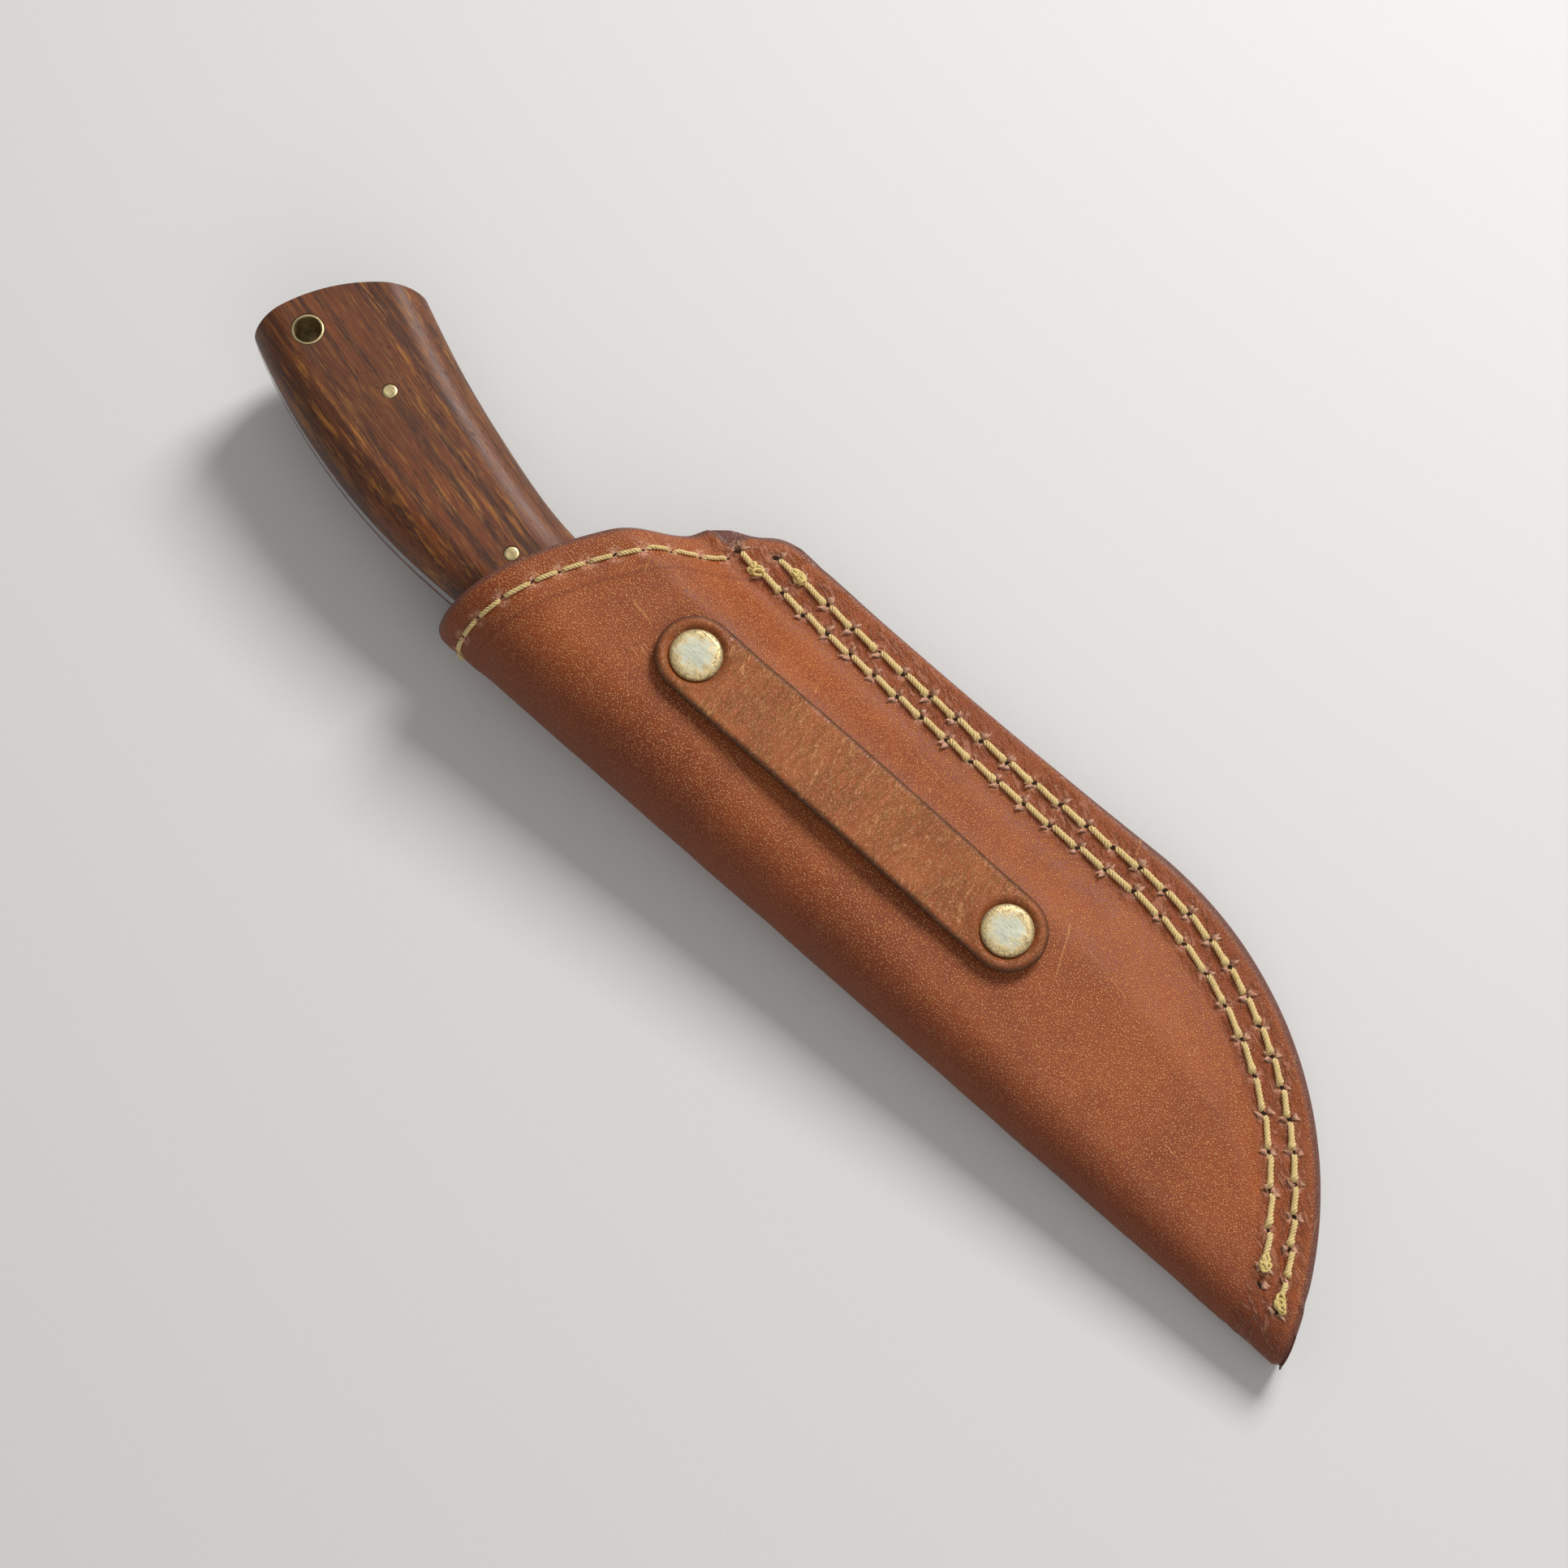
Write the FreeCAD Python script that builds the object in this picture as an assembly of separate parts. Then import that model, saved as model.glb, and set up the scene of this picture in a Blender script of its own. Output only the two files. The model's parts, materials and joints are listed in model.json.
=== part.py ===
"""Full-tang whittling knife in a folded leather pouch sheath.

Every piece is built in one drawing frame: X runs from the sheath's tip to the
butt, the fold of the sheath is at Y = 0 with the stitched edge on the -Y
side, and Z = 0 is the middle of the blade.  Each finished piece is then laid
down on the flat underside of the sheath, which becomes Z = 0.
"""
import math
import os

import FreeCAD
import Part

V = FreeCAD.Vector

# ---- Driving dimensions, in millimetres ---------------------------------

# Leather
LEATHER = 2.5               # folded panel and welt
LINING = 1.4                # reinforcing band inside the mouth
LINING_DEPTH = 7.5          # how far the band reaches in from the rim
LINING_REACH = 19.0         # from the mouth to the band's inner edge beside the handle
STRAP_LEATHER = 2.4         # belt strap
WELT_WIDTH = 10.0

# Sheath, seen from above
SHEATH_LENGTH = 169.0       # tip to mouth, along the fold
SHEATH_WIDTH = 47.4         # fold to stitched edge
BELLY_RUN = 62.0            # length of the rounded end
EDGE_SAG = 0.9              # the long stitched edge is slightly hollow
MOUTH_SLANT = 30.5          # how much shorter the stitched edge is than the fold
MOUTH_BOW = 5.2             # how far the rim bulges out of its chord
MOUTH_CORNER = 8.0          # radius where the rim meets the stitched edge

# Sheath, seen from the mouth
TIP_RISE = 0.75             # how far each face stands above the stitched stack at the tip
STITCH_BORDER = 8.6         # flat stitched border along the edge
CROWN_COVER = 2.32          # the flat crown runs this far past the handle's belly side
CROWN_EASE = 0.42           # share of the slope that eases into each flat
CROWN_MIN = 6.0             # narrowest pocket, at the tip
REST_FLAT = 0.05            # what resting flattens off the underside

# Stitching
THREAD_R = 0.45
MOUTH_THREAD_R = 0.4
HOLE_GAP = 1.0              # bare leather and hole between two stitches
OUTER_ROW = 4.0             # from the stitched edge
INNER_ROW = 7.5
OUTER_ROW_START = -1.0      # X of the first hole, from the end of the stitched edge
INNER_ROW_START = 4.0
OUTER_ROW_END = 6.0         # X of the last hole
INNER_ROW_END = 11.3
OUTER_PITCHES = (5.4, 4.7)   # first and last stitch, from mouth to tip
INNER_PITCHES = (4.6, 6.0)
MOUTH_ROW = 4.2             # from the rim
MOUTH_PITCH = 4.6
MOUTH_ROW_CLEAR = 1.8       # from the inner row to the mouth row's last hole
GROOVE_DEPTH = 1.2          # groove that the mouth's and the back's threads lie in
GROOVE_WIDTH = 1.2

# Belt strap and its rivets
STRAP_WIDTH = 12.6
STRAP_OFFSET = 2.9          # from the sheath's middle towards the fold
STRAP_RISE = 0.8            # how far the empty loop stands off in the middle
STRAP_PAD = 8.0             # flat length beyond each rivet, towards the loop
UPPER_RIVET_SETBACK = 34.7  # from the mouth, measured along the fold
LOWER_RIVET_X = 72.0
CAP_R = 4.1
CAP_THICK = 1.0
CAP_SINK = 0.55             # how deep a cap is pressed into the strap
CAP_ROUND = 0.35
POST_R = 1.5
BASE_R = 4.0
BASE_THICK = 0.45

# Knife
STEEL = 3.0                 # blade and tang
SCALE_THICK = 6.5
SCALE_ROUND = 6.0
SIDE_FLAT = 0.1             # flat side that a scale keeps beside the tang
NOSE_ROUND = 5.0
SCALE_DEPTH = 47.0          # from the mouth to the front of the scales
PLUNGE_DEPTH = 57.0         # from the mouth to where the bevels begin
TIP_Y = -10.4               # Y of the cutting edge at the point
TIP_SPINE_Y = -8.6          # Y of the spine at the point
TIP_THICK = 0.9
EDGE_THICK = 0.3
GRIND_SHARE = 0.33          # share of the blade's height that stays flat
TUBE_R = 2.6
TUBE_WALL = 0.45
PIN_R = 1.2
TUBE_AT = (47.1, -21.1)     # X past the mouth, Y
REAR_PIN_AT = (30.5, -22.2)
MIDDLE_PIN_AT = (-1.7, -15.3)
FRONT_PIN_AT = (-33.9, -15.6)

# Clearances
DRAW_GAP = 0.35             # between the handle and the mouth lining
GLUE_GAP = 0.05             # round pins, posts and the tube, and under the lining
THREAD_GAP = 0.1            # between a thread and the leather it lies on
THREAD_SINK = 0.1           # between the skin and a thread that lies in a groove
CAP_GAP = 0.1
BLADE_GAP = 3.0             # between the cutting edge and the welt

# Handle and tang: X past the mouth, spine side Y, belly side Y
GRIP_BELLY = 24.8           # belly side of the handle where the lining holds it
HANDLE = [
    (-PLUNGE_DEPTH, -6.9, -25.0),
    (-45.0, -6.7, -25.2),
    (-32.0, -6.4, -24.7),
    (-LINING_REACH, -6.0, -GRIP_BELLY),
    (-4.0, -5.4, -25.3),
    (11.0, -5.3, -28.7),
    (26.0, -6.9, -33.5),
    (39.0, -10.0, -38.8),
    (51.0, -14.3, -43.0),
    (63.0, -20.5, -46.5),
]
BUTT_ARC = [(54.3, -15.0), (50.9, -26.4), (37.2, -39.2)]

# Blade: share of its length from the point, spine Y, share of the room below it
BLADE = [
    (1.0, -6.9, 0.71),
    (0.955, -6.9, 0.895),
    (0.885, -6.9, 0.97),
    (0.715, -6.9, 1.0),
    (0.515, -6.9, 1.0),
    (0.345, -6.9, 1.0),
    (0.2, -7.0, 1.0),
    (0.085, -7.5, 1.0),
    (0.0, TIP_SPINE_Y, 1.0),
]

# ---- Sizes that follow from them -----------------------------------------

STACK_HALF = 1.5 * LEATHER                      # two panels and the welt
TIP_HALF = STACK_HALF + TIP_RISE                # half the thickness at the tip
STRAP_Y = STRAP_OFFSET - SHEATH_WIDTH / 2       # the strap's centre line
HANDLE_HALF = STEEL / 2 + SCALE_THICK
LINING_INNER_X = SHEATH_LENGTH - LINING_REACH
SEAT_HALF = HANDLE_HALF + DRAW_GAP + LINING + LEATHER
TAPER = (SEAT_HALF - TIP_HALF) / LINING_INNER_X
CROWN_SHARE = (CROWN_COVER + GRIP_BELLY - SEAT_HALF) / (SHEATH_WIDTH - STITCH_BORDER - SEAT_HALF)
LIE_ANGLE = math.degrees(math.atan(TAPER))
BELLY_R = (BELLY_RUN ** 2 + SHEATH_WIDTH ** 2) / (2 * SHEATH_WIDTH)
BELLY_CENTRE = V(BELLY_RUN, BELLY_R - SHEATH_WIDTH, 0)
EDGE_END_X = SHEATH_LENGTH - MOUTH_SLANT
RIM_CHORD = math.hypot(MOUTH_SLANT, SHEATH_WIDTH)
RIM_R = (RIM_CHORD ** 2 / 4 + MOUTH_BOW ** 2) / (2 * MOUTH_BOW)
RIM_OUT = V(SHEATH_WIDTH, -MOUTH_SLANT, 0) / RIM_CHORD
RIM_MIDDLE = V((SHEATH_LENGTH + EDGE_END_X) / 2, -SHEATH_WIDTH / 2, 0)
RIM_CENTRE = RIM_MIDDLE - RIM_OUT * (RIM_R - MOUTH_BOW)
UPPER_RIVET_X = SHEATH_LENGTH - UPPER_RIVET_SETBACK
ORIGIN_X = (UPPER_RIVET_X + LOWER_RIVET_X) / 2  # below the strap's middle
PLUNGE_X = SHEATH_LENGTH - PLUNGE_DEPTH
SCALE_FRONT_X = SHEATH_LENGTH - SCALE_DEPTH
BELLY_ROOM_R = BELLY_R - WELT_WIDTH             # rounded end of the pocket
TIP_X = BELLY_RUN - math.sqrt(BELLY_ROOM_R ** 2 - (TIP_Y - BLADE_GAP - BELLY_CENTRE.y) ** 2)
SIDE_R = min(SCALE_ROUND, SCALE_THICK - SIDE_FLAT)
EDGE_ROWS = [
    ("inner_row", INNER_ROW, EDGE_END_X + INNER_ROW_START, INNER_ROW_END, INNER_PITCHES),
    ("outer_row", OUTER_ROW, EDGE_END_X + OUTER_ROW_START, OUTER_ROW_END, OUTER_PITCHES),
]
TALL = 40.0                                     # more than the sheath's thickness
WIDE = 2 * SHEATH_LENGTH                        # more than the whole length
BEYOND = 6.0                                    # how far a blank runs past its trim line
THIN = 0.05
BELLY_STATIONS = (0.1, 0.28, 0.5, 0.75, 1.0)    # sections of the sheath, as shares
STRAIGHT_STATIONS = (0.25, 0.5, 0.75)


# ---- Helpers ---------------------------------------------------------------

def line(a, b):
    return Part.makeLine(a, b)


def arc(a, b, c):
    return Part.Arc(a, b, c).toShape()


def upright(edges):
    """Solid above and below a closed plan outline."""
    face = Part.Face(Part.Wire(edges))
    return face.extrude(V(0, 0, 2 * TALL)).translated(V(0, 0, -TALL))


def past_mouth(x, y, z=0.0):
    return V(SHEATH_LENGTH + x, y, z)


def rod(at, radius, half_length):
    """Round bar through the handle, centred on the blade's mid-plane."""
    base = past_mouth(*at, -half_length)
    return Part.makeCylinder(radius, 2 * half_length, base)


def mirrored(shape):
    """The same piece on the other side of the blade."""
    return shape.mirror(V(0, 0, 0), V(0, 0, 1))


def on_top_face(shape):
    """Take a shape from the plane Z = 0 to the sheath's sloping top face."""
    moved = shape.copy()
    moved.rotate(V(0, 0, 0), V(0, 1, 0), -LIE_ANGLE)
    moved.translate(V(0, 0, TIP_HALF))
    return moved


def lay_down(shape):
    """Rest the sheath's underside on Z = 0, with the origin under the strap."""
    laid = shape.copy()
    laid.translate(V(0, -STRAP_Y, TIP_HALF))
    laid.rotate(V(0, 0, 0), V(0, 1, 0), -LIE_ANGLE)
    laid.translate(V(-ORIGIN_X / math.cos(math.radians(LIE_ANGLE)), 0, -REST_FLAT))
    return laid


def export(name, shape):
    lay_down(shape).exportStep("parts/%s.step" % name)
    print("%-24s solids %3d  volume %9.1f" % (name, len(shape.Solids), shape.Volume))


# ---- Sheath form -------------------------------------------------------------

def half_at(x):
    """Half the sheath's thickness over its flat crown."""
    return TIP_HALF + TAPER * x


def edge_at(x):
    """Distance from the fold to the stitched edge."""
    back = BELLY_RUN - min(max(x, 0.0), BELLY_RUN)
    return math.sqrt(BELLY_R ** 2 - back ** 2) - BELLY_CENTRE.y


def skin_section(x, inset):
    """Section across the sheath, a given depth below its outer skin."""
    half = half_at(x)
    rise = half - inset
    stack = max(STACK_HALF - inset, THIN)
    slope_end = max(edge_at(x) - STITCH_BORDER, half + CROWN_MIN)
    crown_end = half + CROWN_SHARE * (slope_end - half)
    lean = math.atan2(half - STACK_HALF, slope_end - crown_end)
    mitre = inset * math.tan(lean / 2)
    crown = mitre - crown_end
    foot = mitre - slope_end
    ease = CROWN_EASE * (foot - crown)
    far = -SHEATH_WIDTH - BEYOND

    def slope(side):
        poles = [(crown, rise), (crown + ease, rise), (foot - ease, stack), (foot, stack)]
        curve = Part.BezierCurve()
        curve.setPoles([V(x, y, side * z) for y, z in poles])
        return curve.toShape()

    return Part.Wire([
        arc(V(x, -half, -rise), V(x, -inset, 0), V(x, -half, rise)),
        line(V(x, -half, rise), V(x, crown, rise)),
        slope(1),
        line(V(x, foot, stack), V(x, far, stack)),
        line(V(x, far, stack), V(x, far, -stack)),
        line(V(x, far, -stack), V(x, foot, -stack)),
        slope(-1),
        line(V(x, crown, -rise), V(x, -half, -rise)),
    ])


def skin(inset):
    """The sheath's whole blank, a given depth below its outer skin."""
    rounded = [-BEYOND] + [BELLY_RUN * share for share in BELLY_STATIONS]
    run = SHEATH_LENGTH - BELLY_RUN
    straight = [BELLY_RUN + run * share for share in STRAIGHT_STATIONS]
    stations = rounded + straight + [SHEATH_LENGTH + BEYOND]
    return Part.makeLoft([skin_section(x, inset) for x in stations], True, False)


def rim_x(y, depth):
    """X of the line that runs a given depth inside the rim."""
    return RIM_CENTRE.x + math.sqrt((RIM_R - depth) ** 2 - (y - RIM_CENTRE.y) ** 2)


def rim_zone(depth_from, depth_to):
    """Upright zone between two lines that follow the rim."""
    low = V(RIM_CENTRE.x, RIM_CENTRE.y, -TALL)
    ring = Part.makeCylinder(RIM_R - depth_from, 2 * TALL, low)
    ring = ring.cut(Part.makeCylinder(RIM_R - depth_to, 2 * TALL, low))
    corner = V(RIM_CENTRE.x, -SHEATH_WIDTH - BEYOND, -TALL)
    near_mouth = Part.makeBox(RIM_R + BEYOND, SHEATH_WIDTH + 2 * BEYOND, 2 * TALL, corner)
    return ring.common(near_mouth)


def belly_point(inset, y):
    """Point on the rounded end, a given distance inside the stitched edge."""
    radius = BELLY_R - inset
    return V(BELLY_CENTRE.x - math.sqrt(radius ** 2 - (y - BELLY_CENTRE.y) ** 2), y, 0)


def belly_arc(inset, y_end):
    """Rounded end from the long edge to a given Y."""
    low = V(BELLY_RUN, inset - SHEATH_WIDTH, 0)
    middle = belly_point(inset, (inset - SHEATH_WIDTH) / 2)
    return arc(low, middle, belly_point(inset, y_end))


def sheath_outline():
    """Plan of the cut leather, running past the fold."""
    rim_top = V(rim_x(BEYOND, 0), BEYOND, 0)
    rim_low = V(EDGE_END_X, -SHEATH_WIDTH, 0)
    edge_mid = V((BELLY_RUN + EDGE_END_X) / 2, EDGE_SAG - SHEATH_WIDTH, 0)
    blank = upright([
        arc(rim_top, RIM_MIDDLE + RIM_OUT * MOUTH_BOW, rim_low),
        arc(rim_low, edge_mid, V(BELLY_RUN, -SHEATH_WIDTH, 0)),
        belly_arc(0, BEYOND),
        line(belly_point(0, BEYOND), rim_top),
    ])
    corner = [e for e in blank.Edges
              if all((v.Point - rim_low).cross(V(0, 0, 1)).Length < THIN for v in e.Vertexes)]
    return blank.makeFillet(MOUTH_CORNER, corner)


def pocket_zone():
    """Upright zone inside the welt, open at the mouth and the fold."""
    inner_y = WELT_WIDTH - SHEATH_WIDTH
    mouth_x = SHEATH_LENGTH + BEYOND
    return upright([
        line(V(mouth_x, inner_y, 0), V(BELLY_RUN, inner_y, 0)),
        belly_arc(WELT_WIDTH, BEYOND),
        line(belly_point(WELT_WIDTH, BEYOND), V(mouth_x, BEYOND, 0)),
        line(V(mouth_x, BEYOND, 0), V(mouth_x, inner_y, 0)),
    ])


# ---- Stitching ---------------------------------------------------------------

def stitch(a, b, radius):
    """One visible stitch between two holes: a short round-ended bar."""
    along = (b - a).normalize()
    start = a + along * (HOLE_GAP / 2 + radius)
    length = (b - a).Length - HOLE_GAP - 2 * radius
    bar = Part.makeCylinder(radius, length, start, along)
    ends = [Part.makeSphere(radius, start), Part.makeSphere(radius, start + along * length)]
    return bar.fuse(ends).removeSplitter()


def thread(points, radius):
    return Part.Compound([stitch(a, b, radius) for a, b in zip(points, points[1:])])


def thread_over(bed, points, radius, clear):
    """The same, each stitch lifted over what bulges up between its two holes."""
    stitches = []
    for a, b in zip(points, points[1:]):
        middle = (a + b) / 2
        bulge = V(0, 0, max(0.0, plumb_height(bed, middle) + clear - middle.z))
        stitches.append(stitch(a + bulge, b + bulge, radius))
    return Part.Compound(stitches)


def resting_plane():
    """What lies below the flat that the sheath rests on."""
    slab = Part.makeBox(WIDE, WIDE, TALL, V(-WIDE / 4, -WIDE / 2, REST_FLAT - TALL))
    slab.rotate(V(0, 0, 0), V(0, 1, 0), LIE_ANGLE)
    return slab.translated(V(0, 0, -TIP_HALF))


def below_blade():
    return Part.makeBox(WIDE, WIDE, TALL, V(-WIDE / 4, -WIDE / 2, -TALL))


def plumb_height(bed, point):
    """Height of a skin over a point of the plan."""
    plumb = line(V(point.x, point.y, 0), V(point.x, point.y, TALL))
    return plumb.common(bed).BoundBox.ZMax


def edge_line_end(inset, end_x):
    """Y where a line that follows the rounded end reaches a given X."""
    return BELLY_CENTRE.y - math.sqrt((BELLY_R - inset) ** 2 - (end_x - BELLY_RUN) ** 2)


def beside_long_edge(x, inset):
    """Point a given distance inside the long stitched edge."""
    share = (x - BELLY_RUN) / (EDGE_END_X - BELLY_RUN)
    sag = 4 * EDGE_SAG * share * (1 - share)
    return V(x, inset + sag - SHEATH_WIDTH, 0)


def long_run(inset, start_x):
    """Line a given distance inside the long stitched edge, from mouth to rounded end."""
    stations = (start_x, (start_x + BELLY_RUN) / 2, BELLY_RUN)
    return arc(*[beside_long_edge(x, inset) for x in stations])


def edge_holes(inset, start_x, end_x, pitches):
    """Plan of the holes of one row along the stitched edge, from mouth to tip."""
    straight = long_run(inset, start_x)
    bend = belly_arc(inset, edge_line_end(inset, end_x))
    first, last = pitches
    mean = (first + last) / 2
    total = straight.Length + bend.Length
    count = round(total / mean)
    holes = []
    for step in range(count + 1):
        share = step / count
        run = total * share * (first + (last - first) * share / 2) / mean
        edge = straight
        if run > straight.Length:
            edge = bend
            run = min(run - straight.Length, bend.Length)
        holes.append(edge.valueAt(edge.getParameterByLength(run)))
    return holes


def edge_thread(bed, holes, clear):
    """One row's thread, with its axis a given height over a skin."""
    points = [V(p.x, p.y, plumb_height(bed, p) + clear) for p in holes]
    return thread_over(bed, points, THREAD_R, clear)


def back_groove(inset, start_x, end_x):
    """Groove along one row on the underside."""
    outer = inset - GROOVE_WIDTH / 2
    inner = inset + GROOVE_WIDTH / 2
    low_run, high_run = long_run(outer, start_x), long_run(inner, start_x)
    low_end = belly_point(outer, edge_line_end(outer, end_x))
    high_end = belly_point(inner, edge_line_end(inner, end_x))
    zone = upright([
        line(high_run.valueAt(high_run.FirstParameter), low_run.valueAt(low_run.FirstParameter)),
        low_run,
        belly_arc(outer, low_end.y),
        line(low_end, high_end),
        belly_arc(inner, high_end.y),
        high_run,
    ])
    return zone.common(below_blade()).cut(skin(GROOVE_DEPTH))


def mouth_row(depth):
    """Holes round the mouth, from one side's edge over the fold to the other's."""
    bed = skin(depth)
    half = half_at(rim_x(0, MOUTH_ROW))
    fold_count = round(math.pi / 2 * half / MOUTH_PITCH)
    holes = []
    for step in range(fold_count):
        turn = math.pi / 2 * step / fold_count
        y = (half - depth) * math.cos(turn) - half
        holes.append(V(rim_x(y, MOUTH_ROW), y, (half - depth) * math.sin(turn)))
    start = V(rim_x(-half, MOUTH_ROW), -half, 0)
    end_y = INNER_ROW + MOUTH_ROW_CLEAR - SHEATH_WIDTH
    end = V(rim_x(end_y, MOUTH_ROW), end_y, 0)
    middle = V(rim_x((end_y - half) / 2, MOUTH_ROW), (end_y - half) / 2, 0)
    plan = arc(start, middle, end)
    for p in plan.discretize(Number=round(plan.Length / MOUTH_PITCH) + 1):
        holes.append(V(p.x, p.y, plumb_height(bed, p)))
    below = [V(p.x, p.y, -p.z) for p in holes[1:]]
    return below[::-1] + holes


# ---- Knife -------------------------------------------------------------------

def scale_section(x, spine, belly):
    """Section of one handle scale: flat against the tang, rounded outside."""
    low = STEEL / 2
    high = HANDLE_HALF
    wall = high - SIDE_R
    bend = SIDE_R * (1 - math.sqrt(0.5))

    def at(y, z):
        return past_mouth(x, y, z)

    return Part.Wire([
        line(at(belly, low), at(belly, wall)),
        arc(at(belly, wall), at(belly + bend, high - bend), at(belly + SIDE_R, high)),
        line(at(belly + SIDE_R, high), at(spine - SIDE_R, high)),
        arc(at(spine - SIDE_R, high), at(spine - bend, high - bend), at(spine, wall)),
        line(at(spine, wall), at(spine, low)),
        line(at(spine, low), at(belly, low)),
    ])


def handle_zone(front_x):
    """Upright zone from a front line back to the arched butt."""
    top, middle, low = [past_mouth(x, y) for x, y in BUTT_ARC]
    left, right = BEYOND, -SHEATH_WIDTH - BEYOND
    return upright([
        arc(top, middle, low),
        line(low, V(low.x, right, 0)),
        line(V(low.x, right, 0), V(front_x, right, 0)),
        line(V(front_x, right, 0), V(front_x, left, 0)),
        line(V(front_x, left, 0), V(top.x, left, 0)),
        line(V(top.x, left, 0), top),
    ])


def nose_cutter():
    """What is taken off the front of the scales to round them down to the steel."""
    radius = min(NOSE_ROUND, SIDE_R)
    back = SCALE_FRONT_X + radius
    centre_z = HANDLE_HALF - radius
    bend = radius * (1 - math.sqrt(0.5))
    y = -SHEATH_WIDTH
    front = SCALE_FRONT_X - BEYOND
    profile = Part.Wire([
        arc(V(SCALE_FRONT_X, y, centre_z), V(SCALE_FRONT_X + bend, y, HANDLE_HALF - bend),
            V(back, y, HANDLE_HALF)),
        line(V(back, y, HANDLE_HALF), V(back, y, TALL)),
        line(V(back, y, TALL), V(front, y, TALL)),
        line(V(front, y, TALL), V(front, y, centre_z)),
        line(V(front, y, centre_z), V(SCALE_FRONT_X, y, centre_z)),
    ])
    return Part.Face(profile).extrude(V(0, SHEATH_WIDTH + BEYOND, 0))


def handle_holes():
    pins = [REAR_PIN_AT, MIDDLE_PIN_AT, FRONT_PIN_AT]
    holes = [rod(at, PIN_R + GLUE_GAP, TALL) for at in pins]
    return holes + [rod(TUBE_AT, TUBE_R + GLUE_GAP, TALL)]


def handle_scale():
    blank = Part.makeLoft([scale_section(*row) for row in HANDLE], True, False)
    trimmed = blank.common(handle_zone(SCALE_FRONT_X)).cut(nose_cutter())
    return trimmed.cut(handle_holes())


def tang_section(x, spine, belly):
    t = STEEL / 2
    corners = [(belly, -t), (belly, t), (spine, t), (spine, -t), (belly, -t)]
    return Part.makePolygon([past_mouth(x, y, z) for y, z in corners])


def blade_room_y(x):
    """Y of the line that the cutting edge follows, a little inside the welt."""
    back = BELLY_RUN - min(x, BELLY_RUN)
    return BELLY_CENTRE.y - math.sqrt(BELLY_ROOM_R ** 2 - back ** 2) + BLADE_GAP


def blade_section(along, spine, reach):
    """Section of the ground blade, thinner towards the point."""
    x = TIP_X + along * (PLUNGE_X - TIP_X)
    edge = spine + reach * (blade_room_y(x) - spine)
    grind = spine + GRIND_SHARE * (edge - spine)
    t = (TIP_THICK + (STEEL - TIP_THICK) * min(1.0, 2 * along)) / 2
    e = EDGE_THICK / 2
    corners = [(spine, t), (grind, t), (edge, e), (edge, -e), (grind, -t), (spine, -t), (spine, t)]
    return Part.makePolygon([V(x, y, z) for y, z in corners])


def knife_blade():
    tang = Part.makeLoft([tang_section(*row) for row in HANDLE], True, False)
    tang = tang.common(handle_zone(PLUNGE_X)).cut(handle_holes())
    ground = Part.makeLoft([blade_section(*row) for row in BLADE], True, False)
    return tang.fuse(ground)


def lanyard_tube():
    return rod(TUBE_AT, TUBE_R, HANDLE_HALF).cut(rod(TUBE_AT, TUBE_R - TUBE_WALL, TALL))


# ---- Belt strap and rivets, drawn on the plane of the top face ----------------

def rivet_x(x):
    """Distance along the sloping face of a rivet at a given X."""
    return x / math.cos(math.radians(LIE_ANGLE))


def belt_strap():
    low_x, high_x = rivet_x(LOWER_RIVET_X), rivet_x(UPPER_RIVET_X)
    radius = STRAP_WIDTH / 2
    ends = (low_x - radius - BEYOND, high_x + radius + BEYOND)
    pads = (low_x + STRAP_PAD, high_x - STRAP_PAD)
    middle = (low_x + high_x) / 2
    side = STRAP_Y - radius

    def surface(z):
        return [
            line(V(ends[0], side, z), V(pads[0], side, z)),
            arc(V(pads[0], side, z), V(middle, side, z + STRAP_RISE), V(pads[1], side, z)),
            line(V(pads[1], side, z), V(ends[1], side, z)),
        ]

    low_end, high_end = [line(V(x, side, 0), V(x, side, STRAP_LEATHER)) for x in ends]
    profile = surface(0) + [high_end] + surface(STRAP_LEATHER)[::-1] + [low_end]
    band = Part.Face(Part.Wire(profile)).extrude(V(0, STRAP_WIDTH, 0))
    plan = upright([
        line(V(low_x, side, 0), V(high_x, side, 0)),
        arc(V(high_x, side, 0), V(high_x + radius, STRAP_Y, 0), V(high_x, STRAP_Y + radius, 0)),
        line(V(high_x, STRAP_Y + radius, 0), V(low_x, STRAP_Y + radius, 0)),
        arc(V(low_x, STRAP_Y + radius, 0), V(low_x - radius, STRAP_Y, 0), V(low_x, side, 0)),
    ])
    strap = band.common(plan)
    for x in (low_x, high_x):
        seat = V(x, STRAP_Y, STRAP_LEATHER - CAP_SINK)
        strap = strap.cut(Part.makeCylinder(CAP_R + CAP_GAP, CAP_SINK + TALL, seat))
        strap = strap.cut(Part.makeCylinder(POST_R + GLUE_GAP, TALL, V(x, STRAP_Y, -THIN)))
    return on_top_face(strap)


def rivet_cap(x):
    seat = V(rivet_x(x), STRAP_Y, STRAP_LEATHER - CAP_SINK)
    cap = Part.makeCylinder(CAP_R, CAP_THICK, seat)
    rim = [e for e in cap.Edges if abs(e.BoundBox.ZMin - seat.z - CAP_THICK) < THIN]
    return on_top_face(cap.makeFillet(CAP_ROUND, rim))


def rivet_post(x):
    """Shank through strap and panel, with its flat base inside the sheath."""
    inner = -LEATHER * math.cos(math.radians(LIE_ANGLE))
    at = rivet_x(x)
    top = STRAP_LEATHER - CAP_SINK
    shank = Part.makeCylinder(POST_R, top - inner + BASE_THICK, V(at, STRAP_Y, inner - BASE_THICK))
    base = Part.makeCylinder(BASE_R, BASE_THICK, V(at, STRAP_Y, inner - BASE_THICK))
    return on_top_face(shank.fuse(base).removeSplitter())


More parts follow.
